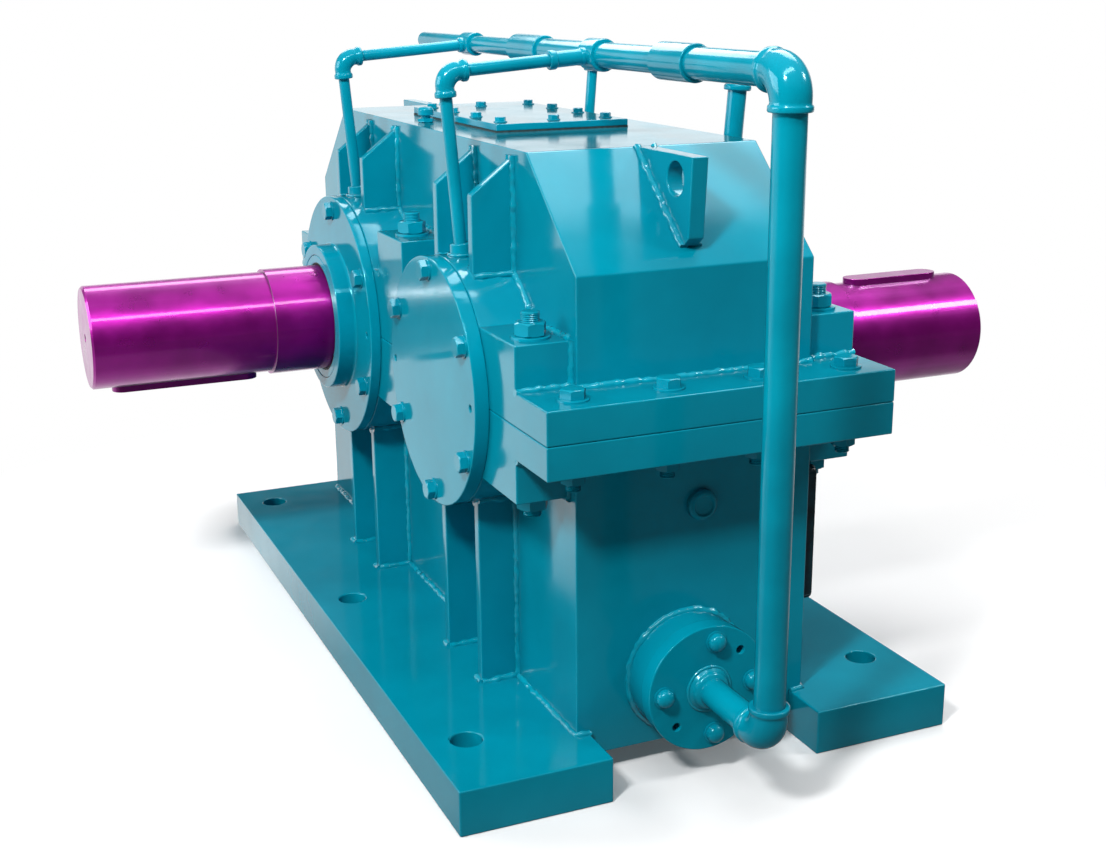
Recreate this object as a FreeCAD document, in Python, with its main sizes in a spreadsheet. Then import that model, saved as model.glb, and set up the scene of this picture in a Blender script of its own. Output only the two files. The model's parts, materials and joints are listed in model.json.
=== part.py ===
import FreeCAD, Part
import math
import os
import Sketcher
from FreeCAD import Placement, Rotation, Vector
from types import SimpleNamespace

# A parallel shaft helical gearbox with a split welded casing and rigid oil pipes.
# X runs along the casing, Y along the shafts and Z up, in millimetres.
# The origin is the centre of the foundation bolt rectangle, on the floor.

DIMENSIONS = {
    # shafts
    "axis_height": 605,
    "centre_distance": 600,
    "input_axis_x": 372,
    # foundation plates
    "foot_near_margin": 156,
    "foot_far_margin": 97,
    "foot_outer_y": 450,
    "foot_width": 260,
    "foot_thickness": 78,
    "foot_hole_pitch": 651,
    "foot_hole_y": 380,
    "foot_hole_radius": 26,
    # casing
    "wall": 16,
    "sump_near_end": 715,
    "sump_length": 1410,
    "sump_half_width": 213,
    "sump_underside": 38,
    "sump_floor": 20,
    "foot_gap": 0.3,
    "flange_overhang": 98,
    "flange_half_width": 303,
    "flange_thickness": 54,
    "flange_far_half_width": 215,
    "hood_inset": 5,
    "hood_half_width": 209,
    "hood_shoulder": 226,
    "hood_rise": 167,
    "hood_run": 190,
    "saddle_height": 126,
    "saddle_near_margin": 107,
    "saddle_far_margin": 91,
    "centre_block_height": 205,
    "input_housing_wall": 43,
    "output_housing_wall": 56,
    "rib_offset": 84,
    "rib_thickness": 20,
    "rib_outer_y": 282,
    "rib_outer_top": 323,
    "rib_wall_top": 383,
    "rib_foot": 120,
    "weld_root": 5,
    # lifting lugs
    "lug_thickness": 28,
    "lug_front": 188,
    "lug_lower_front": 178,
    "lug_nose_drop": 126,
    "lug_root_run": 160,
    "lug_hole_run": 132,
    "lug_hole_drop": 38,
    "lug_hole_radius": 27,
    # inspection cover
    "inspection_x": -35,
    "inspection_length": 460,
    "inspection_width": 260,
    "inspection_thickness": 12,
    "gasket_thickness": 3,
    "opening_length": 330,
    "opening_width": 160,
    "inspection_bolt_x": 186,
    "inspection_bolt_y": 105,
    # bearings
    "raceway_radius": 127,
    "input_bearing_radius": 170,
    "output_bearing_radius": 185,
    "input_bearing_width": 90,
    "output_bearing_width": 100,
    "outer_ring_thickness": 17,
    "ring_sides": 24,
    "ring_end_gap": 0.5,
    "roller_margin": 9,
    "roller_count": 8,
    "roller_sides": 8,
    "ring_fit": 0.05,
    "running_gap": 0.3,
    # covers and seals
    "blind_thickness": 25,
    "through_thickness": 20,
    "hub_radius": 145,
    "hub_height": 35,
    "seal_radius": 125,
    "seal_width": 18,
    "seal_inset": 2,
    "cover_bolt_count": 6,
    # shafts
    "extension_radius": 100,
    "collar_radius": 105,
    "collar_end_y": 470,
    "output_extension": 350,
    "input_extension": 280,
    "shaft_end_gap": 5,
    "gear_seat_radius": 120,
    "shaft_chamfer": 4,
    "centre_hole_radius": 9,
    "centre_hole_depth": 16,
    # keys
    "key_width": 45,
    "key_height": 25,
    "key_depth": 15,
    "key_fit": 0.05,
    "output_key_length": 284,
    "input_key_length": 200,
    "output_key_inset": 41,
    "input_key_inset": 50,
    "gear_key_width": 56,
    "gear_key_height": 32,
    "gear_key_depth": 20,
    "gear_key_length": 220,
    # gears
    "wheel_teeth": 42,
    "pinion_teeth": 31,
    "tooth_addendum": 15.5,
    "tooth_dedendum": 20,
    "pressure_angle": 20,
    "helix_angle": 13,
    "tooth_backlash": 1.2,
    "root_step": 1,
    "face_width": 240,
    # heads and nuts of the casing fasteners, each with its half width across flats
    "cover_bolt_head": 15,
    "cover_head_height": 13,
    "flange_bolt_head": 18,
    "flange_head_height": 16,
    "flange_bolt_inset": 48,
    "near_bolt_inner_y": 80,
    "near_bolt_outer_y": 240,
    "far_bolt_inner_y": 55,
    "far_bolt_outer_y": 165,
    "cap_bolt_head": 23,
    "cap_head_height": 22,
    "cap_bolt_inset": 45,
    "inspection_bolt_head": 9,
    "inspection_head_height": 9,
    # fittings on the casing
    "plug_radius": 26,
    "plug_height": 14,
    "plug_y": 8,
    "plug_drop": 160,
    "gauge_x": 690,
    "gauge_width": 30,
    "gauge_depth": 22,
    "gauge_low": 235,
    "gauge_top_gap": 4,
    "breather_x": -80,
    "breather_y": -168,
    "breather_radius": 14,
    "breather_height": 30,
    "drain_radius": 24,
    "drain_height": 100,
    # oil pipes
    "pipe_y": -15,
    "outlet_height": 158,
    "pad_radius": 105,
    "pad_thickness": 50,
    "pipe_flange_radius": 107.5,
    "pipe_flange_thickness": 30,
    "pipe_flange_circle": 81,
    "pipe_collar_height": 14,
    "pipe_collar_wall": 12,
    "pipe_bolt_head": 14,
    "pipe_head_height": 15,
    "riser_x": 978,
    "header_rise": 139,
    "header_far_end": -520,
    "riser_radius": 24.15,
    "middle_radius": 21.2,
    "far_radius": 16.85,
    "branch_radius": 10.65,
    "wide_branch_radius": 16.85,
    "header_sides": 24,
    "branch_sides": 16,
    "boss_offset": 251.7,
    "branch_tilt": 4.5,
    "elbow_wall": 5,
    "elbow_steps": 4,
    "bead_wall": 2.5,
    "bead_length": 15,
    "bend_allowance": 14,
    "near_coupling_x": 663,
    "near_coupling_length": 106,
    "far_coupling_x": 86,
    "far_coupling_length": 128,
    "coupling_wall": 5,
    "band_wall": 6,
    "band_length": 56,
    "boss_wall": 8,
    "boss_height": 20,
}

doc = FreeCAD.newDocument("helical_gearbox")
sheet = doc.addObject("Spreadsheet::Sheet", "sizes")
for row, (name, value) in enumerate(DIMENSIONS.items(), start=1):
    sheet.set(f"A{row}", name)
    sheet.set(f"B{row}", str(value))
    sheet.setAlias(f"B{row}", name)
doc.recompute()


class Size:
    """A dimension that keeps the sheet expression behind it, so that sums of sizes stay bound."""

    def __init__(self, value, text=None):
        self.value = float(value)
        self.text = text or str(float(value))

    def __float__(self):
        return self.value

    def __add__(self, other):
        other = as_size(other)
        return Size(self.value + other.value, f"({self.text} + {other.text})")

    def __sub__(self, other):
        other = as_size(other)
        return Size(self.value - other.value, f"({self.text} - {other.text})")

    def __mul__(self, other):
        other = as_size(other)
        return Size(self.value * other.value, f"({self.text} * {other.text})")

    def __truediv__(self, other):
        other = as_size(other)
        return Size(self.value / other.value, f"({self.text} / {other.text})")

    def __neg__(self):
        return Size(-self.value, f"(0 - {self.text})")

    def __radd__(self, other):
        return as_size(other) + self

    def __rsub__(self, other):
        return as_size(other) - self

    def __rmul__(self, other):
        return as_size(other) * self


def as_size(value):
    return value if isinstance(value, Size) else Size(value)


def root(size):
    return Size(math.sqrt(size.value), f"sqrt({size.text})")


dim = SimpleNamespace(**{name: Size(sheet.get(name), f"sizes.{name}") for name in DIMENSIONS})

# Levels and stations that several pieces share
split = dim.axis_height
foot_top = dim.foot_thickness
foot_inner_y = dim.foot_outer_y - dim.foot_width
foot_near_end = dim.foot_hole_pitch + dim.foot_near_margin
foot_far_end = -dim.foot_hole_pitch - dim.foot_far_margin
flange_top = split + dim.flange_thickness
flange_underside = split - dim.flange_thickness
saddle_top = split + dim.saddle_height
saddle_underside = split - dim.saddle_height
centre_block_top = split + dim.centre_block_height
sump_far_end = dim.sump_near_end - dim.sump_length
hood_near_end = dim.sump_near_end - dim.hood_inset
hood_far_end = sump_far_end + dim.hood_inset
shoulder_height = split + dim.hood_shoulder
hood_top = shoulder_height + dim.hood_rise
header_height = hood_top + dim.header_rise
flange_near_end = dim.sump_near_end + dim.flange_overhang
flange_far_end = sump_far_end - dim.flange_overhang
pad_face = dim.sump_near_end + dim.pad_thickness
housing_face = dim.flange_half_width
bearing_outer_y = housing_face - dim.ring_end_gap
shaft_hidden_y = bearing_outer_y - dim.shaft_end_gap


def shaft_line(name, x, side):
    """The sizes of one shaft line; side is -1 or 1, the end of Y that its extension points to."""
    def size(kind):
        return getattr(dim, f"{name}_{kind}")

    line = SimpleNamespace(name=name, x=x, side=side, bearing_radius=size("bearing_radius"))
    line.housing_radius = line.bearing_radius + size("housing_wall")
    line.bolt_circle = line.bearing_radius + size("housing_wall") / 2
    line.extension_end = dim.collar_end_y + size("extension")
    line.bearing_inner_y = bearing_outer_y - size("bearing_width")
    line.race_radius = line.bearing_radius - dim.outer_ring_thickness
    line.key_length = size("key_length")
    line.key_end = line.extension_end - size("key_inset")
    # the output key was left underneath and the input key on top
    line.key_up = side
    return line


output_line = shaft_line("output", dim.input_axis_x - dim.centre_distance, -1)
input_line = shaft_line("input", dim.input_axis_x, 1)
lines = (output_line, input_line)

saddle_near_end = input_line.x + input_line.housing_radius + dim.saddle_near_margin
saddle_far_end = output_line.x - output_line.housing_radius - dim.saddle_far_margin
centre_block_near = input_line.x - input_line.housing_radius
centre_block_far = output_line.x + output_line.housing_radius

nodes = []


def keep(thing):
    nodes.append(thing)
    return thing


# Sketch outlines, each a function that draws itself into a sketch

def pin(sketch, geometry, end, place):
    """Holds a point of the sketch at a place given by two sizes."""
    for kind, size in zip(("DistanceX", "DistanceY"), place):
        size = as_size(size)
        index = sketch.addConstraint(Sketcher.Constraint(kind, -1, 1, geometry, end, size.value))
        sketch.setExpression(f"Constraints[{index}]", size.text)


def polygon(points):
    def draw(sketch):
        first = sketch.GeometryCount
        corners = [Vector(float(x), float(y), 0) for x, y in points]
        for start, end in zip(corners, corners[1:] + corners[:1]):
            sketch.addGeometry(Part.LineSegment(start, end))
        for index, place in enumerate(points):
            before = first + (index - 1) % len(points)
            sketch.addConstraint(Sketcher.Constraint("Coincident", before, 2, first + index, 1))
            pin(sketch, first + index, 1, place)
    return draw


def rectangle(low_x, high_x, low_y, high_y):
    return polygon([(low_x, low_y), (high_x, low_y), (high_x, high_y), (low_x, high_y)])


def circle(x, y, radius):
    def draw(sketch):
        radius_size = as_size(radius)
        centre = Vector(float(x), float(y), 0)
        index = sketch.addGeometry(Part.Circle(centre, Vector(0, 0, 1), radius_size.value))
        pin(sketch, index, 3, (x, y))
        constraint = sketch.addConstraint(Sketcher.Constraint("Radius", index, radius_size.value))
        sketch.setExpression(f"Constraints[{constraint}]", radius_size.text)
    return draw


def slot(x, low_y, high_y, width):
    """A round-ended slot along the sketch's y."""
    def draw(sketch):
        radius = as_size(width) / 2
        half = float(radius)
        high = Vector(float(x), float(high_y) - half, 0)
        low = Vector(float(x), float(low_y) + half, 0)
        up = Vector(0, 0, 1)
        aside = Vector(half, 0, 0)
        top = sketch.addGeometry(Part.ArcOfCircle(Part.Circle(high, up, half), 0, math.pi))
        left = sketch.addGeometry(Part.LineSegment(high - aside, low - aside))
        base = sketch.addGeometry(Part.ArcOfCircle(Part.Circle(low, up, half), math.pi, 2 * math.pi))
        right = sketch.addGeometry(Part.LineSegment(low + aside, high + aside))
        for first, second in ((top, left), (left, base), (base, right), (right, top)):
            sketch.addConstraint(Sketcher.Constraint("Tangent", first, 2, second, 1))
        sketch.addConstraint(Sketcher.Constraint("Equal", top, base))
        pin(sketch, top, 3, (x, as_size(high_y) - radius))
        pin(sketch, base, 3, (x, as_size(low_y) + radius))
        constraint = sketch.addConstraint(Sketcher.Constraint("Radius", top, half))
        sketch.setExpression(f"Constraints[{constraint}]", radius.text)
    return draw


# Features of a body; low and high are places along the axis that the plane leaves out

def new_body(label):
    body = doc.addObject("PartDesign::Body", label)
    body.Label = label
    return keep(body)


def new_sketch(body, plane, at, outlines):
    sketch = body.newObject("Sketcher::SketchObject", "Profile")
    origin = next(item for item in body.Origin.OriginFeatures if item.Role == plane + "_Plane")
    sketch.AttachmentSupport = (origin, [""])
    sketch.MapMode = "FlatFace"
    offset = -as_size(at) if plane == "XZ" else as_size(at)
    sketch.setExpression("AttachmentOffset.Base.z", offset.text)
    for draw in outlines:
        draw(sketch)
    return sketch


def pad(body, plane, low, high, *outlines):
    start = high if plane == "XZ" else low
    feature = body.newObject("PartDesign::Pad", "Pad")
    feature.Profile = new_sketch(body, plane, start, outlines)
    feature.setExpression("Length", (as_size(high) - low).text)
    return feature


def pocket(body, plane, low, high, *outlines):
    start = low if plane == "XZ" else high
    feature = body.newObject("PartDesign::Pocket", "Pocket")
    feature.Profile = new_sketch(body, plane, start, outlines)
    feature.setExpression("Length", (as_size(high) - low).text)
    return feature


def revolve(body, points):
    """Turns a profile of (radius, station) points about the body's own Y axis."""
    feature = body.newObject("PartDesign::Revolution", "Revolution")
    sketch = new_sketch(body, "XY", 0, [polygon(points)])
    feature.Profile = sketch
    feature.ReferenceAxis = (sketch, ["V_Axis"])
    feature.Angle = 360
    return feature


def place(thing, x=0, y=0, z=0):
    for axis, size in zip("xyz", (x, y, z)):
        thing.setExpression(f"Placement.Base.{axis}", as_size(size).text)


def cover_bolt_angles():
    """The angles of a cover's bolts from +X towards +Z, with none on the casing joint."""
    count = int(float(dim.cover_bolt_count))
    return [360 / count * (index + 0.5) for index in range(count)]


# Casing weldments

def flange_outline():
    """The split flange from above, whose far corners are cut off between the saddle and the far end."""
    near, far, corner = flange_near_end, flange_far_end, saddle_far_end
    half, tip = housing_face, dim.flange_far_half_width
    return polygon([(near, -half), (near, half), (corner, half), (far, tip), (far, -tip), (corner, -half)])


def flange_bolt_places():
    near = flange_near_end - dim.flange_bolt_inset
    far = flange_far_end + dim.flange_bolt_inset
    rows = ((near, dim.near_bolt_inner_y), (near, dim.near_bolt_outer_y),
            (far, dim.far_bolt_inner_y), (far, dim.far_bolt_outer_y))
    return [(x, side * y) for x, y in rows for side in (-1, 1)]


def cap_bolt_places():
    """Where the bearing cap bolts stand, with the height of the block top there."""
    stations = (
        (saddle_far_end + dim.cap_bolt_inset, saddle_top),
        ((centre_block_near + centre_block_far) / 2, centre_block_top),
        (saddle_near_end - dim.cap_bolt_inset, saddle_top),
    )
    y = (dim.sump_half_width + dim.flange_half_width) / 2
    return [(x, side * y, top) for x, top in stations for side in (-1, 1)]


def rib_stations():
    return [line.x + side * dim.rib_offset for line in lines for side in (-1, 1)]


def cut_bearing_bores(body):
    bores = [circle(line.x, split, line.bearing_radius) for line in lines]
    pocket(body, "XZ", -housing_face, housing_face, *bores)


def make_upper_casing():
    body = new_body("upper_casing")
    width = dim.hood_half_width
    slope = root(dim.hood_run * dim.hood_run + dim.hood_rise * dim.hood_rise)
    pad(body, "XZ", -width, width, polygon([
        (hood_far_end, split), (hood_near_end, split), (hood_near_end, shoulder_height),
        (hood_near_end - dim.hood_run, hood_top), (hood_far_end + dim.hood_run, hood_top),
        (hood_far_end, shoulder_height)]))
    pad(body, "XY", split, flange_top, flange_outline())
    pad(body, "XY", split, saddle_top,
        rectangle(saddle_far_end, saddle_near_end, -housing_face, housing_face))
    pad(body, "XY", split, centre_block_top,
        rectangle(centre_block_far, centre_block_near, -housing_face, housing_face))
    for line in lines:
        pad(body, "XZ", -housing_face, housing_face, circle(line.x, split, line.housing_radius))
    root_y = width - dim.weld_root
    for x in rib_stations():
        sides = [polygon([
            (side * root_y, split + dim.rib_foot), (side * dim.rib_outer_y, split + dim.rib_foot),
            (side * dim.rib_outer_y, split + dim.rib_outer_top), (side * root_y, split + dim.rib_wall_top)])
            for side in (-1, 1)]
        pad(body, "YZ", x - dim.rib_thickness / 2, x + dim.rib_thickness / 2, *sides)
    inner = width - dim.wall
    near = hood_near_end - dim.wall
    far = hood_far_end + dim.wall
    eaves = shoulder_height - dim.wall * (slope - dim.hood_rise) / dim.hood_run
    run = dim.hood_run - dim.wall + dim.wall * (slope - dim.hood_run) / dim.hood_rise
    ceiling = hood_top - dim.wall
    pocket(body, "XZ", -inner, inner, polygon([
        (far, split), (near, split), (near, eaves),
        (near - run, ceiling), (far + run, ceiling), (far, eaves)]))
    below = split - output_line.housing_radius
    pocket(body, "XY", below, split, rectangle(flange_far_end, flange_near_end, -housing_face, housing_face))
    pocket(body, "XY", ceiling, hood_top, inspection_rectangle(dim.opening_length, dim.opening_width))
    cut_bearing_bores(body)
    return body


def make_lower_casing():
    body = new_body("lower_casing")
    width = dim.sump_half_width
    tray_width = foot_inner_y - dim.foot_gap
    pad(body, "XY", foot_top, split, rectangle(sump_far_end, dim.sump_near_end, -width, width))
    pad(body, "XY", dim.sump_underside, foot_top,
        rectangle(sump_far_end, dim.sump_near_end, -tray_width, tray_width))
    pad(body, "XY", flange_underside, split, flange_outline())
    pad(body, "XY", saddle_underside, split,
        rectangle(saddle_far_end, saddle_near_end, -housing_face, housing_face))
    for line in lines:
        pad(body, "XZ", -housing_face, housing_face, circle(line.x, split, line.housing_radius))
    root_y = width - dim.weld_root
    half = dim.rib_thickness / 2
    ribs = [rectangle(x - half, x + half, *sorted((side * root_y, side * dim.rib_outer_y), key=float))
            for x in rib_stations() for side in (-1, 1)]
    pad(body, "XY", foot_top, saddle_underside + half, *ribs)
    pad(body, "YZ", dim.sump_near_end, pad_face, circle(dim.pipe_y, dim.outlet_height, dim.pad_radius))
    inner = width - dim.wall
    near = dim.sump_near_end - dim.wall
    far = sump_far_end + dim.wall
    pocket(body, "XY", foot_top, split, rectangle(far, near, -inner, inner))
    floor = dim.sump_underside + dim.sump_floor
    tray_inner = tray_width - dim.wall
    pocket(body, "XY", floor, foot_top, rectangle(far, near, -tray_inner, tray_inner))
    above = split + output_line.housing_radius
    pocket(body, "XY", split, above, rectangle(flange_far_end, flange_near_end, -housing_face, housing_face))
    cut_bearing_bores(body)
    return body


def make_foot_plate(label, side):
    body = new_body(label)
    inner, outer = sorted((side * foot_inner_y, side * dim.foot_outer_y), key=float)
    holes = [circle(index * dim.foot_hole_pitch, side * dim.foot_hole_y, dim.foot_hole_radius)
             for index in (-1, 0, 1)]
    pad(body, "XY", 0, dim.foot_thickness, rectangle(foot_far_end, foot_near_end, inner, outer), *holes)
    return body


def make_lifting_lug(label, top_edge_x, side):
    """A plate that stands on the sloped end of the hood; side is 1 at the near end, -1 at the far end."""
    body = new_body(label)
    slope_ratio = dim.hood_rise / dim.hood_run
    half = dim.lug_thickness / 2
    outline = polygon([
        (top_edge_x, hood_top), (top_edge_x + side * dim.lug_front, hood_top),
        (top_edge_x + side * dim.lug_lower_front, hood_top - dim.lug_nose_drop),
        (top_edge_x + side * dim.lug_root_run, hood_top - dim.lug_root_run * slope_ratio)])
    hole = circle(top_edge_x + side * dim.lug_hole_run, hood_top - dim.lug_hole_drop, dim.lug_hole_radius)
    pad(body, "XZ", -half, half, outline, hole)
    return body


# Inspection cover

def inspection_bolt_places():
    """Four bolts along each side of the inspection cover and one in the middle of each end."""
    places = []
    for share in (-1, -1 / 3, 1 / 3, 1):
        x = dim.inspection_x + dim.inspection_bolt_x * share
        places += [(x, dim.inspection_bolt_y), (x, -dim.inspection_bolt_y)]
    places += [(dim.inspection_x + side * dim.inspection_bolt_x, as_size(0)) for side in (-1, 1)]
    return places


def inspection_rectangle(length, width):
    """A rectangle about the middle of the inspection opening."""
    middle = dim.inspection_x
    return rectangle(middle - length / 2, middle + length / 2, -width / 2, width / 2)


def make_inspection_plate(label, low, high, opened):
    body = new_body(label)
    outlines = [inspection_rectangle(dim.inspection_length, dim.inspection_width)]
    if opened:
        outlines.append(inspection_rectangle(dim.opening_length, dim.opening_width))
    pad(body, "XY", low, high, *outlines)
    return body


# Bearing covers

def cover_outline(line, thickness, hub):
    """Profile points (radius, station) of a flat bearing cover, with stations from the housing face."""
    if not hub:
        return [(0, 0), (line.housing_radius, 0), (line.housing_radius, thickness), (0, thickness)]
    hub_face = thickness + dim.hub_height
    return [
        (dim.seal_radius, 0), (line.housing_radius, 0), (line.housing_radius, thickness),
        (dim.hub_radius, thickness), (dim.hub_radius, hub_face), (dim.seal_radius, hub_face)]


def make_cover(label, line, side, thickness, hub):
    body = new_body(label)
    outline = cover_outline(line, thickness, hub)
    revolve(body, [(radius, side * as_size(station)) for radius, station in outline])
    place(body, line.x, side * housing_face, split)
    return body


# Shafts and keys

def key_stations(line):
    """The two ends of the extension key along Y, the lower one first."""
    return sorted((line.side * (line.key_end - line.key_length), line.side * line.key_end), key=float)


def make_shaft(line):
    """Stepped shaft with its shrunk-on inner rings; its extension points to line.side."""
    body = new_body(line.name + "_shaft")
    side = line.side
    end = line.extension_end
    gear_half = dim.face_width / 2
    chamfer = dim.shaft_chamfer
    profile = [
        (0, end - dim.centre_hole_depth), (dim.centre_hole_radius, end),
        (dim.extension_radius - chamfer, end), (dim.extension_radius, end - chamfer),
        (dim.extension_radius, dim.collar_end_y), (dim.collar_radius, dim.collar_end_y),
        (dim.collar_radius, bearing_outer_y), (dim.raceway_radius, bearing_outer_y),
        (dim.raceway_radius, line.bearing_inner_y), (dim.gear_seat_radius, line.bearing_inner_y),
        (dim.gear_seat_radius, -gear_half), (dim.raceway_radius, -gear_half),
        (dim.raceway_radius, -shaft_hidden_y), (0, -shaft_hidden_y)]
    revolve(body, [(radius, side * as_size(station)) for radius, station in profile])
    low, high = key_stations(line)
    floor = dim.extension_radius - dim.key_depth
    bottom, top = sorted((line.key_up * floor, line.key_up * dim.collar_radius), key=float)
    keyway_width = dim.key_width + 2 * dim.key_fit
    pocket(body, "XY", bottom, top, slot(0, low - dim.key_fit, high + dim.key_fit, keyway_width))
    half_length = dim.gear_key_length / 2 + dim.key_fit
    half_width = dim.gear_key_width / 2 + dim.key_fit
    pocket(body, "XY", dim.gear_seat_radius - dim.gear_key_depth, dim.gear_seat_radius,
           rectangle(-half_width, half_width, -half_length, half_length))
    place(body, line.x, 0, split)
    return body


def make_extension_key(line):
    body = new_body(line.name + "_key")
    low, high = key_stations(line)
    floor = dim.extension_radius - dim.key_depth
    bottom, top = sorted((line.key_up * floor, line.key_up * (floor + dim.key_height)), key=float)
    pad(body, "XY", bottom, top, slot(0, low, high, dim.key_width))
    place(body, line.x, 0, split)
    return body


def make_gear_key(label, line):
    body = new_body(label)
    half_length = dim.gear_key_length / 2
    half_width = dim.gear_key_width / 2
    floor = dim.gear_seat_radius - dim.gear_key_depth
    pad(body, "XY", floor, floor + dim.gear_key_height,
        rectangle(-half_width, half_width, -half_length, half_length))
    place(body, line.x, 0, split)
    return body


# Groups of repeated pieces, each piece a solid of its own

def new_group(label, shapes, x=0, y=0, z=0):
    feature = doc.addObject("Part::Feature", label)
    feature.Label = label
    feature.Shape = Part.makeCompound(shapes)
    feature.Placement = Placement(Vector(float(x), float(y), float(z)), Rotation())
    return keep(feature)


def vector(x, y, z):
    return Vector(float(x), float(y), float(z))


def cylinder(radius, start, end):
    """A round bar from one point to another."""
    axis = end - start
    return Part.makeCylinder(float(radius), axis.Length, start, axis)


def facet_sleeve(outer, inner, sides, start, end, across):
    """A ring with flat sides from one point to another."""
    return facet_bar(outer, sides, start, end, across).cut(facet_bar(inner, sides, start, end, across))


def ring_of_sides(radius, sides, middle, axis, across):
    """Corners of a regular polygon of a round bar's mean radius, the first one towards across."""
    corner = float(radius) / math.sqrt(math.cos(math.pi / sides))
    aside = across * corner
    third = axis.cross(across) * corner
    turns = [2 * math.pi * step / sides for step in range(sides)]
    return [middle + aside * math.cos(turn) + third * math.sin(turn) for turn in turns]


def facet_solid(rings):
    """The solid between the first and last of a row of rings that have as many corners each."""
    faces = [Part.Face(Part.makePolygon(ring + ring[:1])) for ring in (rings[0], rings[-1])]
    for ring, following in zip(rings, rings[1:]):
        for index in range(len(ring)):
            corners = [ring[index - 1], ring[index], following[index], following[index - 1]]
            faces.append(Part.Face(Part.makePolygon(corners + corners[:1])))
    return Part.Solid(Part.Shell(faces))


def facet_bar(radius, sides, start, end, across):
    """A bar with flat sides from one point to another."""
    axis = end - start
    axis.normalize()
    return facet_solid([ring_of_sides(radius, sides, point, axis, across) for point in (start, end)])


def hexagon(half_flats, start, axis, height):
    """A hexagonal nut or head standing on start along axis."""
    corner = float(half_flats) / math.cos(math.pi / 6)
    across = Vector(1, 0, 0) if abs(axis.x) < 0.5 else Vector(0, 1, 0)
    mean = corner * math.sqrt(math.cos(math.pi / 6))
    return facet_bar(mean, 6, start, start + axis * float(height), across)


UP = Vector(0, 0, 1)
DOWN = Vector(0, 0, -1)
BACK = Vector(-1, 0, 0)
FORWARD = Vector(1, 0, 0)


def bearing_ring(line, outer, inner, low, high):
    """A ring about a shaft line, its outer corners and inner flats at the radii given."""
    sides = int(float(dim.ring_sides))
    share = math.sqrt(math.cos(math.pi / sides))
    start = vector(line.x, low, split)
    end = vector(line.x, high, split)
    return facet_sleeve(float(outer) * share, float(inner) / share, sides, start, end, UP)


def make_outer_rings():
    new_group("bearing_outer_rings", [
        bearing_ring(line, line.bearing_radius - dim.ring_fit, line.race_radius,
                     side * line.bearing_inner_y, side * bearing_outer_y)
        for line in lines for side in (-1, 1)])


def make_rollers(line):
    """The roller sets of one shaft, standing between the inner raceway and the outer rings."""
    radius = float(line.race_radius - dim.raceway_radius) / 2
    pitch = float(line.race_radius + dim.raceway_radius) / 2
    sides = int(float(dim.roller_sides))
    corner_reach = (radius - float(dim.running_gap)) * math.sqrt(math.cos(math.pi / sides))
    count = int(float(dim.roller_count))
    shapes = []
    for side in (-1, 1):
        start_y = side * float(line.bearing_inner_y + dim.roller_margin)
        end_y = side * float(bearing_outer_y - dim.roller_margin)
        for index in range(count):
            angle = 2 * math.pi * index / count
            outwards = Vector(math.cos(angle), 0, math.sin(angle))
            start = outwards * pitch + Vector(0, start_y, 0)
            end = outwards * pitch + Vector(0, end_y, 0)
            shapes.append(facet_bar(corner_reach, sides, start, end, outwards))
    new_group(line.name + "_rollers", shapes, line.x, 0, split)


def make_seals():
    face = housing_face + dim.through_thickness + dim.hub_height - dim.seal_inset
    new_group("shaft_seals", [
        bearing_ring(line, dim.seal_radius - dim.ring_fit, dim.collar_radius + dim.running_gap,
                     line.side * (face - dim.seal_width), line.side * face)
        for line in lines])


def make_cover_bolts(line):
    shapes = []
    for side in (-1, 1):
        thickness = dim.through_thickness if side == line.side else dim.blind_thickness
        for angle in cover_bolt_angles():
            x = line.bolt_circle * math.cos(math.radians(angle))
            z = line.bolt_circle * math.sin(math.radians(angle))
            start = vector(x, side * (housing_face + thickness), z)
            shapes.append(hexagon(dim.cover_bolt_head, start, Vector(0, side, 0), dim.cover_head_height))
    new_group(line.name + "_cover_bolts", shapes, line.x, 0, split)


def make_joint_fasteners(name, places, head, head_height, underside):
    """Bolt heads on the casing joint and the nuts below it."""
    heads = [hexagon(head, vector(x, y, top), UP, head_height) for x, y, top in places]
    nuts = [hexagon(head, vector(x, y, underside), DOWN, head_height) for x, y, top in places]
    new_group(name + "_bolts", heads)
    new_group(name + "_nuts", nuts)


# Helical gears

def pitch_radius_of(teeth):
    return float(dim.centre_distance) * teeth / float(dim.wheel_teeth + dim.pinion_teeth)


def involute_angle(radius, base):
    """Polar angle that an involute has swept at a radius."""
    turn = math.sqrt((radius / base) ** 2 - 1)
    return turn - math.atan(turn)


def gear_section(teeth, station, phase, helix_turn):
    """One transverse outline of a gear: each flank follows its involute in two straight steps."""
    pitch_radius = pitch_radius_of(teeth)
    normal_slope = math.tan(math.radians(float(dim.pressure_angle)))
    transverse_angle = math.atan(normal_slope / math.cos(math.radians(float(dim.helix_angle))))
    base = pitch_radius * math.cos(transverse_angle)
    tip = pitch_radius + float(dim.tooth_addendum)
    foot = pitch_radius - float(dim.tooth_dedendum)
    half_tooth = math.pi / 2 / teeth - float(dim.tooth_backlash) / 4 / pitch_radius
    start = max(base, foot + float(dim.root_step))
    flank = [(radius, half_tooth + involute_angle(pitch_radius, base) - involute_angle(radius, base))
             for radius in (start, pitch_radius, tip)]
    side = [(foot, flank[0][1])] + flank[1:]
    points = []
    for tooth in range(teeth):
        middle = phase + helix_turn + 2 * math.pi * tooth / teeth
        for radius, angle in [(r, -a) for r, a in side] + [(r, a) for r, a in reversed(side)]:
            turn = middle + angle
            points.append(Vector(radius * math.cos(turn), station, radius * math.sin(turn)))
    return Part.makePolygon(points + points[:1])


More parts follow.
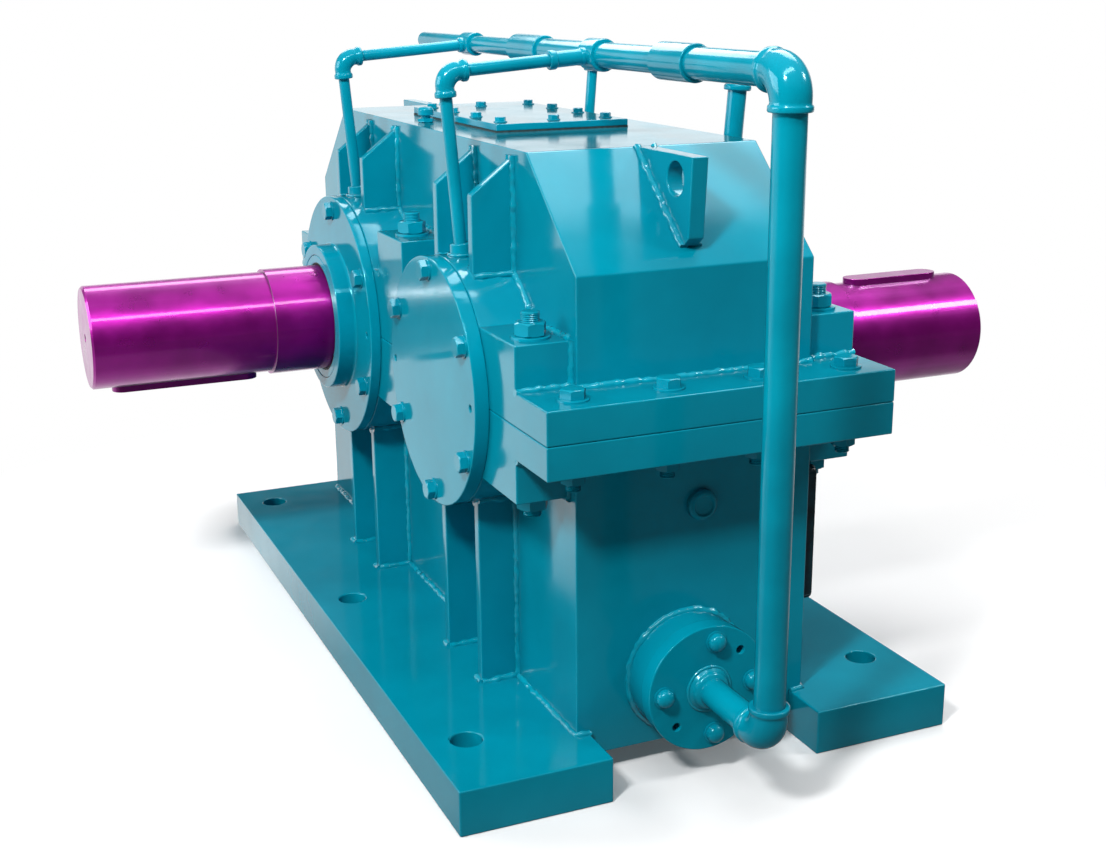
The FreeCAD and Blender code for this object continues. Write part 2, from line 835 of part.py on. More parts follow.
def make_gear(label, line, teeth, phase, hand):
    """A helical gear on its shaft; hand is 1 or -1, and the two gears of a pair have opposite hands."""
    half = float(dim.face_width) / 2
    lead_turn = hand * half * math.tan(math.radians(float(dim.helix_angle))) / pitch_radius_of(teeth)
    sections = [gear_section(teeth, side * half, phase, side * lead_turn) for side in (-1, 1)]
    blank = Part.makeLoft(sections, True, True)
    bore = cylinder(dim.gear_seat_radius + dim.ring_fit, Vector(0, -half, 0), Vector(0, half, 0))
    slot_width = float(dim.gear_key_width + 2 * dim.key_fit)
    slot_top = float(dim.gear_seat_radius - dim.gear_key_depth + dim.gear_key_height + dim.key_fit)
    key_slot = Part.makeBox(slot_width, 2 * half, slot_top, Vector(-slot_width / 2, -half, 0))
    new_group(label, [blank.cut(bore).cut(key_slot)], line.x, 0, split)


# Oil pipes

def header_bar(radius, start, end):
    return facet_bar(radius, int(float(dim.header_sides)), start, end, Vector(0, 1, 0))


def bend_radius(pipe_radius):
    return float(pipe_radius + dim.bend_allowance)


def elbow(pipe_radius, sides, corner, first, second, beaded):
    """An elbow at a corner with its ends pointing along first and second, and a bead at each end if asked."""
    bend = bend_radius(pipe_radius)
    body_radius = float(pipe_radius + dim.elbow_wall)
    bead_radius = body_radius + float(dim.bead_wall)
    reach = bend + float(dim.bead_length)
    centre = corner + (first + second) * bend
    sideways = first.cross(second)
    steps = int(float(dim.elbow_steps))
    sections = []
    for step in range(steps + 1):
        turn = math.pi / 2 * step / steps
        middle = centre - second * (bend * math.cos(turn)) - first * (bend * math.sin(turn))
        heading = second * math.sin(turn) - first * math.cos(turn)
        sections.append(ring_of_sides(body_radius, sides, middle, heading, sideways))
    if beaded:
        leading = [ring_of_sides(bead_radius, sides, corner + first * far, first * -1, sideways)
                   for far in (reach, bend)]
        trailing = [ring_of_sides(bead_radius, sides, corner + second * far, second, sideways)
                    for far in (bend, reach)]
        sections = leading + sections + trailing
    return facet_solid(sections)


def branch_directions(side):
    """Unit vectors along a branch pipe and down its drop pipe; side is -1 or 1."""
    tilt = math.radians(float(dim.branch_tilt))
    along = Vector(0, side * math.cos(tilt), -math.sin(tilt))
    down = Vector(0, -side * math.sin(tilt), -math.cos(tilt))
    return along, down


def branch_reach(drop):
    """The length of a branch whose tilted drop pipe lands the boss offset away from the header."""
    tilt = math.radians(float(dim.branch_tilt))
    return math.cos(tilt) * (float(dim.boss_offset) + drop * math.tan(tilt))


def make_branches():
    """Branch, elbow, drop pipe and inlet boss for each of the four bearings, and the band on the header."""
    sides = int(float(dim.branch_sides))
    bands = []
    branches = []
    elbows = []
    drops = []
    bosses = []
    settings = (
        (output_line, dim.far_radius, (dim.branch_radius, dim.branch_radius)),
        (input_line, dim.middle_radius, (dim.branch_radius, dim.wide_branch_radius)),
    )
    for line, header_radius, radii in settings:
        tee = vector(line.x, dim.pipe_y, header_height)
        crest = float(split + line.housing_radius + dim.ring_fit)
        half_band = FORWARD * (float(dim.band_length) / 2)
        bands.append(facet_sleeve(
            header_radius + dim.band_wall, header_radius + dim.ring_fit, int(float(dim.header_sides)),
            tee - half_band, tee + half_band, Vector(0, 1, 0)))
        for side, radius in zip((-1, 1), radii):
            along, down = branch_directions(side)
            corner = tee + along * branch_reach(tee.z - crest)
            bend = bend_radius(radius)
            landing = corner + down * ((crest - corner.z) / down.z)
            seat = landing - down * float(dim.boss_height)
            first = tee + along * float(header_radius + dim.band_wall)
            branches.append(facet_bar(radius, sides, first, corner - along * bend, FORWARD))
            elbows.append(elbow(radius, sides, corner, along * -1, down, False))
            drops.append(facet_bar(radius, sides, corner + down * bend, seat, FORWARD))
            top_ring = ring_of_sides(radius + dim.boss_wall, sides, seat, down, FORWARD)
            landed = [point + down * ((crest - point.z) / down.z) for point in top_ring]
            bosses.append(facet_solid([top_ring, landed]))
    new_group("header_bands", bands)
    new_group("branch_pipes", branches)
    new_group("branch_elbows", elbows)
    new_group("drop_pipes", drops)
    new_group("inlet_bosses", bosses)


def make_outlet():
    """Flange, its bolts, the stub pipe with its collar, the riser and the two large elbows."""
    low_corner = vector(dim.riser_x, dim.pipe_y, dim.outlet_height)
    high_corner = vector(dim.riser_x, dim.pipe_y, header_height)
    face = float(pad_face + dim.pipe_flange_thickness)
    collar_end = face + float(dim.pipe_collar_height)

    def at(x):
        return vector(x, dim.pipe_y, dim.outlet_height)

    new_group("pipe_flange", [cylinder(dim.pipe_flange_radius, at(pad_face), at(face))])
    heads = []
    for index in range(4):
        angle = index * math.pi / 2
        offset = Vector(0, math.cos(angle), math.sin(angle)) * float(dim.pipe_flange_circle)
        heads.append(hexagon(dim.pipe_bolt_head, at(face) + offset, FORWARD, dim.pipe_head_height))
    new_group("pipe_flange_bolts", heads)
    bend = bend_radius(dim.riser_radius)
    reach = bend + float(dim.bead_length)
    sides = int(float(dim.header_sides))
    collar = header_bar(dim.riser_radius + dim.pipe_collar_wall, at(face), at(collar_end))
    stub = header_bar(dim.riser_radius, at(collar_end), low_corner + BACK * reach)
    new_group("stub_pipe", [collar.fuse(stub)])
    new_group("lower_elbow", [elbow(dim.riser_radius, sides, low_corner, BACK, UP, True)])
    riser_start = low_corner + UP * reach
    riser_end = high_corner + DOWN * reach
    new_group("riser_pipe", [header_bar(dim.riser_radius, riser_start, riser_end)])
    new_group("upper_elbow", [elbow(dim.riser_radius, sides, high_corner, DOWN, BACK, True)])
    return high_corner + BACK * reach


def make_header(near_end):
    """The header pipe in its three sizes, stepped down by a coupling at each change."""
    def at(x):
        return vector(x, dim.pipe_y, header_height)

    near_half = dim.near_coupling_length / 2
    far_half = dim.far_coupling_length / 2
    middle_start = at(dim.far_coupling_x + far_half)
    middle_end = at(dim.near_coupling_x - near_half)
    far_start = at(dim.header_far_end)
    far_end = at(dim.far_coupling_x - far_half)
    couplings = (
        (dim.near_coupling_x, near_half, dim.riser_radius),
        (dim.far_coupling_x, far_half, dim.middle_radius),
    )
    new_group("header_near", [header_bar(dim.riser_radius, at(dim.near_coupling_x + near_half), near_end)])
    new_group("header_middle", [header_bar(dim.middle_radius, middle_start, middle_end)])
    new_group("header_far", [header_bar(dim.far_radius, far_start, far_end)])
    new_group("header_couplings", [
        header_bar(radius + dim.coupling_wall, at(x - half), at(x + half)) for x, half, radius in couplings])


# Small fittings

def make_fittings():
    plug_start = vector(dim.sump_near_end, dim.plug_y, split - dim.plug_drop)
    drain_start = vector(sump_far_end, 0, dim.drain_height)
    new_group("casing_plugs", [
        cylinder(dim.plug_radius, plug_start, plug_start + FORWARD * float(dim.plug_height)),
        hexagon(dim.drain_radius, drain_start, BACK, dim.plug_height)])

    gauge = new_body("level_gauge")
    pad(gauge, "XZ", dim.sump_half_width, dim.sump_half_width + dim.gauge_depth,
        slot(dim.gauge_x, dim.gauge_low, saddle_underside - dim.gauge_top_gap, dim.gauge_width))

    breather_start = vector(dim.breather_x, dim.breather_y, hood_top)
    new_group("breather", [hexagon(dim.breather_radius, breather_start, UP, dim.breather_height)])


def build():
    make_upper_casing()
    make_lower_casing()
    make_foot_plate("left_foot_plate", -1)
    make_foot_plate("right_foot_plate", 1)
    make_lifting_lug("near_lifting_lug", hood_near_end - dim.hood_run, 1)
    make_lifting_lug("far_lifting_lug", hood_far_end + dim.hood_run, -1)
    gasket_top = hood_top + dim.gasket_thickness
    cover_top = gasket_top + dim.inspection_thickness
    make_inspection_plate("inspection_gasket", hood_top, gasket_top, True)
    make_inspection_plate("inspection_cover", gasket_top, cover_top, False)
    new_group("inspection_bolts", [
        hexagon(dim.inspection_bolt_head, vector(x, y, cover_top), UP, dim.inspection_head_height)
        for x, y in inspection_bolt_places()])
    for line in lines:
        make_shaft(line)
        make_extension_key(line)
        make_rollers(line)
        make_cover(line.name + "_seal_cover", line, line.side, dim.through_thickness, True)
        make_cover(line.name + "_blind_cover", line, -line.side, dim.blind_thickness, False)
        make_cover_bolts(line)
    make_outer_rings()
    make_seals()
    make_gear_key("wheel_key", output_line)
    make_gear_key("pinion_key", input_line)
    pinion_teeth = int(float(dim.pinion_teeth))
    wheel_teeth = int(float(dim.wheel_teeth))
    make_gear("gear_wheel", output_line, wheel_teeth, 0, 1)
    make_gear("pinion", input_line, pinion_teeth, math.pi + math.pi / pinion_teeth, -1)
    flange_places = [(x, y, flange_top) for x, y in flange_bolt_places()]
    make_joint_fasteners(
        "flange", flange_places, dim.flange_bolt_head, dim.flange_head_height, flange_underside)
    make_joint_fasteners(
        "cap", cap_bolt_places(), dim.cap_bolt_head, dim.cap_head_height, saddle_underside)
    make_fittings()
    make_header(make_outlet())
    make_branches()


build()
doc.recompute()

for thing in doc.Objects:
    if "Invalid" in thing.State or "Error" in thing.State:
        raise RuntimeError(f"{thing.Name} of {thing.Label} failed: {thing.State}")
for node in nodes:
    if node.Shape.isNull() or not node.Shape.isValid():
        raise RuntimeError(f"{node.Label} has no valid shape")

os.makedirs("parts", exist_ok=True)
for node in nodes:
    node.Shape.exportStep(f"parts/{node.Label}.step")
print(len(nodes), "nodes,", sum(len(node.Shape.Solids) for node in nodes), "solids")
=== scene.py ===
import json
import math

import bmesh
import bpy
from mathutils import Matrix, Vector

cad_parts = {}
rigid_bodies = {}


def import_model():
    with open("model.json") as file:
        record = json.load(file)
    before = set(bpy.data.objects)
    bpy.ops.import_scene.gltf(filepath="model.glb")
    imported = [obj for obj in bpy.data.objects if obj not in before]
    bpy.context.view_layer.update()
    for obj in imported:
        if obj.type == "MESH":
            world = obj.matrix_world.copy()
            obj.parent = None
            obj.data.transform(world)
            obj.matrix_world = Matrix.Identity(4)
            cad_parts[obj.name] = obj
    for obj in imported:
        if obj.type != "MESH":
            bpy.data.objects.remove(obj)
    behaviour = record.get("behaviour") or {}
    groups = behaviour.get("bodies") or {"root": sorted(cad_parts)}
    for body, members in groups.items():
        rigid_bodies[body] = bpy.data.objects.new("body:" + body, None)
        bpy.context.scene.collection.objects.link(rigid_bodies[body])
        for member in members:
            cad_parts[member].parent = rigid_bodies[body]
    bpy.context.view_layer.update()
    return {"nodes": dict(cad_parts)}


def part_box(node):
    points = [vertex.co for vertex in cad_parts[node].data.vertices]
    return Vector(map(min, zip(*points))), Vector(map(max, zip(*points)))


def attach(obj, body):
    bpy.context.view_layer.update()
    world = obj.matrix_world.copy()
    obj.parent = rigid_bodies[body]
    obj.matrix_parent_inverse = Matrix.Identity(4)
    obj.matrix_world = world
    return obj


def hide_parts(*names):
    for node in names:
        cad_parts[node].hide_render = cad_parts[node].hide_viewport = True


# A parallel shaft helical gearbox under gloss teal enamel, with magenta lacquered shafts, on a pale studio floor.
# Lengths are in millimetres until a mesh is made, and the studio's are in metres. +X is the end with the oil outlet.

for leftover in list(bpy.data.objects):
    bpy.data.objects.remove(leftover)
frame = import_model()

MM = 0.001
FORWARD, BACK = Vector((1, 0, 0)), Vector((-1, 0, 0))
UP, DOWN = Vector((0, 0, 1)), Vector((0, 0, -1))
SIDES = (-1, 1)
CASING, OUTPUT, INPUT = "casing", "output_line", "input_line"
ENAMEL_SLOT, STEEL_SLOT = "teal_enamel", "magenta_steel"

# Levels of the casing
AXIS_Z, FOOT_TOP = 605, 78
FLANGE_TOP, FLANGE_UNDERSIDE = 659, 551
SADDLE_TOP, SADDLE_UNDERSIDE, BLOCK_TOP = 731, 479, 810
HOOD_TOP, SHOULDER, RIB_WALL_TOP = 998, 831, 988
# Its stations along X, near and far, and across Y
INPUT_X, OUTPUT_X = 372, -228
SUMP_NEAR, SUMP_FAR, SUMP_Y = 715, -695, 213
HOOD_NEAR, HOOD_FAR, HOOD_Y = 710, -690, 209
HIP_NEAR, HIP_FAR = 520, -500
SADDLE_NEAR, SADDLE_FAR = 692, -560
BLOCK_NEAR, BLOCK_FAR = 159, 13
FOOT_INNER_Y, HOUSING_FACE = 190, 303
RIB_OFFSET, RIB_HALF, RIB_OUTER_Y = 84, 10, 282
LUG_HALF, LUG_REACH = 14, 160
# Split flange bolts, as (x, y) on either side, and cap bolts, as (x, the face that carries the stud)
FLANGE_BOLTS = ((765, 80), (765, 240), (-745, 55), (-745, 165))
CAP_BOLTS, CAP_BOLT_Y = ((647, SADDLE_TOP), (86, BLOCK_TOP), (-515, SADDLE_TOP)), 258
# The inspection cover's middle, and half the length and width of its bolt rows
LID_X, LID_BOLTS_X, LID_BOLTS_Y = -35, 186, 105
# Bearing covers: thickness of the through and blind ones, and where the seals start
THROUGH_COVER, BLIND_COVER, SEAL_START = 20, 25, 338
# Each shaft line: its axis, the side its extension points to, and the radii of its housings and cover bolt circle
LINES = {
    "output": {"x": OUTPUT_X, "side": -1, "housing": 241, "circle": 213},
    "input": {"x": INPUT_X, "side": 1, "housing": 213, "circle": 191.5},
}

# Oil pipes: their line and levels, the outlet's pad and flange, and the radii of the bars
PIPE_Y, OUTLET_Z, RISER_X, HEADER_Z = -15, 158, 978, 1137
PAD_FACE, PAD_RADIUS = 765, 105
PIPE_FLANGE_FACE, PIPE_FLANGE_RADIUS, PIPE_FLANGE_CIRCLE, NECK_RADIUS = 795, 107.5, 81, 38
RISER_RADIUS, MIDDLE_RADIUS, FAR_RADIUS = 24.15, 21.2, 16.85
BRANCH_RADIUS, WIDE_BRANCH_RADIUS, REDUCED_RADIUS = 10.65, 16.85, 13.5
BRANCH_TILT, BRANCH_OFFSET = math.radians(4.5), 251.7
# The tee bands' length, and where the wide start of the near left branch ends, from the header's middle
TEE_BAND, REDUCER = 56, 84
# A screwed elbow: its bend over its pipe's radius, and how far its mouths and its pipes' ends lie beyond the bend
BEND_OVER_PIPE, MOUTH_BEYOND_BEND, PIPE_BEYOND_BEND = 14, 15, 11
# The drain plug's height on the far end, the round plug's middle on the near one, and the breather's on the hood
DRAIN_Z, ROUND_PLUG, BREATHER = 100, (SUMP_NEAR, 8, 445), (-80, -168, HOOD_TOP)


# Colour and node helpers

# A Mix node's sockets by their places, because several share a name
MIX_SHARE, NUMBER_A, NUMBER_B, COLOUR_A, COLOUR_B = 0, 2, 3, 6, 7
NUMBER_OUT, COLOUR_OUT = 0, 2
# Most of a noise pattern lies in this range
MIDDLE = (0.3, 0.7)
WHITE = (1, 1, 1, 1)


def linear(code):
    """The linear colour of an sRGB hex value."""
    parts = [int(code[place:place + 2], 16) / 255 for place in (1, 3, 5)]
    return tuple(c / 12.92 if c <= 0.04045 else ((c + 0.055) / 1.055) ** 2.4 for c in parts) + (1.0,)


def link(node, outputs):
    """Gives inputs of a node an output each."""
    for name, output in outputs.items():
        node.id_data.links.new(output, node.inputs[name])


def add(tree, kind, settings=None, links=None):
    """Adds one node. Settings are its properties or input values, and links give its inputs an output each."""
    node = tree.nodes.new(kind)
    for name, value in (settings or {}).items():
        if isinstance(name, str) and hasattr(node, name):
            setattr(node, name, value)
        else:
            node.inputs[name].default_value = value
    link(node, links or {})
    return node


def span(source, target=(0.0, 1.0)):
    """A Map Range node's settings from one range to another."""
    return {"From Min": source[0], "From Max": source[1], "To Min": target[0], "To Max": target[1]}


def per_mm(size):
    """The pattern scale at which one feature is about that many millimetres wide."""
    return 1 / (size * MM)


def new_material(name, settings):
    """A material with constant shader inputs, its tree, its shader and the object's own coordinates."""
    material = bpy.data.materials.new(name)
    material.use_nodes = True
    tree = material.node_tree
    shader = tree.nodes["Principled BSDF"]
    for socket, value in settings.items():
        shader.inputs[socket].default_value = value
    return material, tree, shader, add(tree, "ShaderNodeTexCoord").outputs["Object"]


def mottled(tree, place, size, colours, detail=4.0):
    """A soft cloud of two colours whose patches are about size millimetres wide."""
    cloud = add(tree, "ShaderNodeTexNoise", {"Scale": per_mm(size), "Detail": detail}, {"Vector": place})
    ramp = add(tree, "ShaderNodeValToRGB", links={"Fac": cloud.outputs["Fac"]})
    for stop, at, code in zip(ramp.color_ramp.elements, (0.35, 0.65), colours):
        stop.position = at
        stop.color = linear(code)
    return ramp.outputs["Color"]


def wandering(tree, place, size, levels):
    """A level that wanders over smudges about size millimetres wide."""
    smudges = add(tree, "ShaderNodeTexNoise", {"Scale": per_mm(size), "Detail": 6.0}, {"Vector": place})
    return add(tree, "ShaderNodeMapRange", span(MIDDLE, levels), {"Value": smudges.outputs["Fac"]}).outputs["Result"]


def relief(tree, layers):
    """The normal of patterns laid over one another, each with its depth in millimetres."""
    normal = None
    for height, depth in layers:
        below = {} if normal is None else {"Normal": normal}
        bump = add(tree, "ShaderNodeBump", {"Strength": 1.0, "Distance": depth * MM}, {"Height": height, **below})
        normal = bump.outputs["Normal"]
    return normal


def painted_reflection_colour(tree, colour, code):
    """The colour, but another one painted in where a neighbour's gloss mirrors it: a painted reflection."""
    choice = add(tree, "ShaderNodeMix", {"data_type": "RGBA", COLOUR_B: linear(code)}, {
        MIX_SHARE: add(tree, "ShaderNodeLightPath").outputs["Is Glossy Ray"], COLOUR_A: colour})
    return choice.outputs[COLOUR_OUT]


# Finishes

def enamel(name, colours, waves, peel, roughness, coat):
    """Gloss alkyd enamel on steel; a painted reflection makes it darker teal in a neighbour's gloss, so the shafts stay
    magenta.

    Waves and peel are each a width and a depth in millimetres.
    """
    material, tree, shader, place = new_material(name, {
        "IOR": 1.52, "Specular Tint": linear("#80D0E0"), "Coat Weight": coat, "Coat Roughness": 0.1})
    layers = []
    for (width, depth), detail in ((waves, 1.0), (peel, 1.5)):
        pattern = add(tree, "ShaderNodeTexNoise", {"Scale": per_mm(width), "Detail": detail}, {"Vector": place})
        layers.append((pattern.outputs["Fac"], depth))
    # painted reflection: where a neighbour's gloss mirrors the enamel, it shows as a darker teal
    link(shader, {
        "Base Color": painted_reflection_colour(tree, mottled(tree, place, 190, colours), "#124652"),
        "Roughness": wandering(tree, place, 70, roughness), "Normal": relief(tree, layers)})
    return material


def lacquered_steel():
    """Turned steel under a clear magenta lacquer: fine rings from the tool, thin scratches and dull handling marks."""
    material, tree, shader, place = new_material("magenta_lacquer_on_turned_steel", {
        "Metallic": 0.75, "Coat Weight": 0.6, "Coat Roughness": 0.07, "Coat IOR": 1.5})
    along = add(tree, "ShaderNodeMapping", {"Scale": (per_mm(30), per_mm(900), per_mm(30))}, {"Vector": place})
    scuffs = add(tree, "ShaderNodeTexNoise", {"Scale": 1.0, "Detail": 5.0}, {"Vector": along.outputs["Vector"]})
    wear = add(tree, "ShaderNodeMapRange", span((0.55, 0.8), (0.0, 0.3)), {"Value": scuffs.outputs["Fac"]})
    worn = add(tree, "ShaderNodeMix", {"data_type": "RGBA", COLOUR_B: linear("#C850C0")}, {
        MIX_SHARE: wear.outputs["Result"],
        COLOUR_A: mottled(tree, place, 120, ("#980688", "#B410A2"), detail=5.0)})
    # feed marks of the lathe, 0.3 mm apart in truth and drawn at 2.5 mm: at a scale of 1 there are three bands a metre
    rings = add(tree, "ShaderNodeTexWave", {
        "wave_type": "BANDS", "bands_direction": "Y", "Scale": per_mm(2.5) / 3, "Distortion": 1.2, "Detail": 2.0,
        "Detail Scale": 2.0}, {"Vector": place})
    slanted = add(tree, "ShaderNodeMapping", {
        "Rotation": (0.5, 0.2, 0.9), "Scale": (per_mm(4), per_mm(160), per_mm(4))}, {"Vector": place})
    marks = add(tree, "ShaderNodeTexNoise", {"Scale": 1.0, "Detail": 2.0}, {"Vector": slanted.outputs["Vector"]})
    scratches = add(tree, "ShaderNodeMapRange", span((0.66, 0.72)), {"Value": marks.outputs["Fac"]})
    link(shader, {
        # painted reflection: in the gloss of the covers the shafts show as grey steel instead of magenta
        "Base Color": painted_reflection_colour(tree, worn.outputs[COLOUR_OUT], "#A8ACB0"),
        "Roughness": wandering(tree, place, 45, (0.26, 0.4)),
        "Normal": relief(tree, [(rings.outputs["Fac"], 0.02), (scratches.outputs["Result"], 0.015)])})
    return material


def bare_metal(name, colours, roughness, grain, depth):
    """Bare steel whose grain is that wide in millimetres."""
    material, tree, shader, place = new_material(name, {"Metallic": 1.0})
    marks = add(tree, "ShaderNodeTexNoise", {"Scale": per_mm(grain), "Detail": 2.0}, {"Vector": place})
    link(shader, {
        "Base Color": mottled(tree, place, 60, colours), "Roughness": wandering(tree, place, 25, roughness),
        "Normal": relief(tree, [(marks.outputs["Fac"], depth)])})
    return material


def non_metal(name, colours, patch, roughness, grain, depth):
    """A non-metal whose skin has grains that wide in millimetres."""
    material, tree, shader, place = new_material(name, {"IOR": 1.5})
    grains = add(tree, "ShaderNodeTexNoise", {"Scale": per_mm(grain), "Detail": 3.0}, {"Vector": place})
    level = add(tree, "ShaderNodeMapRange", span(MIDDLE, roughness), {"Value": grains.outputs["Fac"]})
    link(shader, {
        "Base Color": mottled(tree, place, patch, colours), "Roughness": level.outputs["Result"],
        "Normal": relief(tree, [(grains.outputs["Fac"], depth)])})
    return material


# Rolled plate: wide shallow waves that make reflections wander, and a fine orange peel drawn at 5 mm so that it shows
PLATE_ENAMEL = enamel("gloss_enamel_on_rolled_plate", ("#008BA3", "#0096AF"), (150, 1.6), (5, 0.03), (0.07, 0.17), 0.4)
# Turned and machined covers: flatter, so their reflections have straight edges
TURNED_ENAMEL = enamel("gloss_enamel_on_turned_steel", ("#008CA4", "#0099B2"), (260, 0.4), (5, 0.012), (0.06, 0.13), 0)
# Cast fittings and drawn pipe: thick paint over a slightly sandy skin
FITTING_ENAMEL = enamel("gloss_enamel_on_pipe_fittings", ("#0089A1", "#009EB7"), (45, 0.7), (4, 0.05), (0.1, 0.22), 0.3)
# Weld beads: paint pooled over ripples, the glossiest part, so every lump carries a bright speck
WELD_ENAMEL = enamel("gloss_enamel_on_weld_beads", ("#008DA5", "#00A5BE"), (15, 1.8), (6, 0.45), (0.04, 0.08), 1)
LACQUER = lacquered_steel()
# Ground case-hardened teeth: bright grey with a faint cross grain
GEAR_STEEL = bare_metal("ground_case_hardened_steel", ("#8D9096", "#B4B7BC"), (0.22, 0.4), 1.5, 0.02)
# Superfinished rings and rollers: almost a mirror
BEARING_STEEL = bare_metal("superfinished_bearing_steel", ("#B5B7BA", "#D2D4D6"), (0.08, 0.18), 3, 0.005)
# Moulded nitrile lips: soft black with a faint bloom
RUBBER = non_metal("moulded_nitrile_rubber", ("#0B0B0C", "#19191B"), 15, (0.45, 0.65), 1.2, 0.05)
# Pressed fibre sheet: dull grey-green with short fibres
FIBRE = non_metal("pressed_fibre_sheet", ("#1E2D2E", "#34474A"), 8, (0.7, 0.9), 2, 0.15)
# Gauge body: glossy blue-black plastic that shows the lamps
GAUGE = non_metal("moulded_polyamide_gauge", ("#08222A", "#0E3640"), 30, (0.12, 0.22), 2, 0.02)


# Mesh helpers

def put(mesh, name):
    """A new object with that mesh."""
    thing = bpy.data.objects.new(name, mesh)
    bpy.context.scene.collection.objects.link(thing)
    return thing


def smooth(mesh):
    mesh.polygons.foreach_set("use_smooth", [True] * len(mesh.polygons))


def paint(mesh, material):
    mesh.materials.clear()
    mesh.materials.append(material)


def baked(thing):
    """Turns what the modifiers make into the object's own plain mesh."""
    bpy.context.view_layer.update()
    graph = bpy.context.evaluated_depsgraph_get()
    mesh = bpy.data.meshes.new_from_object(thing.evaluated_get(graph))
    name, body = thing.name, thing.data
    bpy.data.objects.remove(thing)
    if body.users == 0:
        bpy.data.meshes.remove(body)
    mesh.name = name
    return put(mesh, name)


def seat(thing, body, nodes=(), slot=ENAMEL_SLOT):
    """Makes a piece move with its body, in the place of its CAD nodes; its slot is not used."""
    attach(thing, body)
    if nodes:
        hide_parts(*nodes)


def finish_piece(thing, material, nodes=(), body=CASING, slot=ENAMEL_SLOT, bevel=0):
    """Rounds the edges, evens the shading, paints the piece and seats it."""
    smooth(thing.data)
    if bevel:
        rounding = thing.modifiers.new("eased_edges", "BEVEL")
        rounding.width = bevel * MM
        rounding.segments = 2
        rounding.limit_method = "ANGLE"
        rounding.angle_limit = math.radians(30)
        rounding.use_clamp_overlap = False
    shading = thing.modifiers.new("even_shading", "WEIGHTED_NORMAL")
    shading.keep_sharp = True
    thing = baked(thing)
    paint(thing.data, material)
    seat(thing, body, nodes, slot)


def mark_creases(mesh, degrees=40):
    """Keeps edges sharper than the angle crisp under smooth shading."""
    shape = bmesh.new()
    shape.from_mesh(mesh)
    for edge in shape.edges:
        if len(edge.link_faces) == 2 and edge.calc_face_angle() > math.radians(degrees):
            edge.smooth = False
    shape.to_mesh(mesh)
    shape.free()


def softened(node, name, bevel, material=PLATE_ENAMEL, body=CASING, slot=ENAMEL_SLOT):
    """A copy of a CAD node with its flat faces joined and its edges rounded."""
    shape = bmesh.new()
    shape.from_mesh(frame["nodes"][node].data)
    bmesh.ops.remove_doubles(shape, verts=shape.verts, dist=0.002 * MM)
    bmesh.ops.dissolve_limit(shape, angle_limit=math.radians(1), verts=shape.verts, edges=shape.edges)
    mesh = bpy.data.meshes.new(name)
    shape.to_mesh(mesh)
    shape.free()
    finish_piece(put(mesh, name), material, (node,), body, slot, bevel)


def eased(profile, ease, closed=False, steps=3):
    """The profile with each corner turned into a small arc that starts ease before it."""
    points = [Vector(p) for p in profile]
    result = []
    count = len(points)
    for index, corner in enumerate(points):
        if not closed and index in (0, count - 1):
            result.append(corner)
            continue
        before = points[index - 1] - corner
        after = points[(index + 1) % count] - corner
        cut = min(ease, before.length * 0.45, after.length * 0.45)
        start = corner + before.normalized() * cut
        end = corner + after.normalized() * cut
        for step in range(steps + 1):
            share = step / steps
            result.append(start * (1 - share) ** 2 + corner * 2 * share * (1 - share) + end * share ** 2)
    return result


def turned(shape, profile, centre, axis, sides, closed=False):
    """Adds to a bmesh the solid that a profile of (radius, station) points sweeps about an axis."""
    axis = Vector(axis).normalized()
    across = axis.orthogonal().normalized()
    third = axis.cross(across)
    turns = [2 * math.pi * step / sides for step in range(sides)]
    rings = []
    for radius, station in profile:
        middle = Vector(centre) + axis * station
        if radius < 1e-6:
            rings.append([shape.verts.new(middle * MM)])
        else:
            rings.append([shape.verts.new((middle + (across * math.cos(t) + third * math.sin(t)) * radius) * MM)
                          for t in turns])
    pairs = list(zip(rings, rings[1:])) + ([(rings[-1], rings[0])] if closed else [])
    for ring, following in pairs:
        for index in range(sides):
            corners = [ring[index % len(ring)], ring[(index + 1) % len(ring)],
                       following[(index + 1) % len(following)], following[index % len(following)]]
            corners = list(dict.fromkeys(corners))
            if len(corners) > 2:
                shape.faces.new(corners)


def solid(shape, name):
    """The object that a bmesh makes, with its faces pointing outwards."""
    bmesh.ops.recalc_face_normals(shape, faces=shape.faces)
    mesh = bpy.data.meshes.new(name)
    shape.to_mesh(mesh)
    shape.free()
    mark_creases(mesh)
    return put(mesh, name)


def drilled(thing, mouths, into, radius, depth):
    """Cuts equal round holes with a countersunk rim, from their mouths into the metal."""
    shape = bmesh.new()
    for mouth in mouths:
        profile = [(0, -2), (radius + 3, -2), (radius + 1.2, 0), (radius, 1.2), (radius, depth),
                   (0, depth + radius / 2)]
        turned(shape, profile, mouth, into, 24)
    cutter = solid(shape, "drill")
    cut = thing.modifiers.new("holes", "BOOLEAN")
    cut.object = cutter
    cut.solver = "EXACT"
    result = baked(thing)
    bpy.data.objects.remove(cutter)
    mark_creases(result.data)
    return result


def around(centre, radius, turn, first=FORWARD, second=UP):
    """The point at that turn of a circle, from its first direction towards its second."""
    return Vector(centre) + (Vector(first) * math.cos(turn) + Vector(second) * math.sin(turn)) * radius


# Geometry node trees

def new_tree(name, inputs):
    """A tree with a geometry going in and out, and its other inputs by name and socket kind."""
    tree = bpy.data.node_groups.new(name, "GeometryNodeTree")
    tree.interface.new_socket("Geometry", in_out="INPUT", socket_type="NodeSocketGeometry")
    for label, kind in inputs:
        tree.interface.new_socket(label, in_out="INPUT", socket_type=kind)
    tree.interface.new_socket("Geometry", in_out="OUTPUT", socket_type="NodeSocketGeometry")
    return tree, tree.nodes.new("NodeGroupInput").outputs


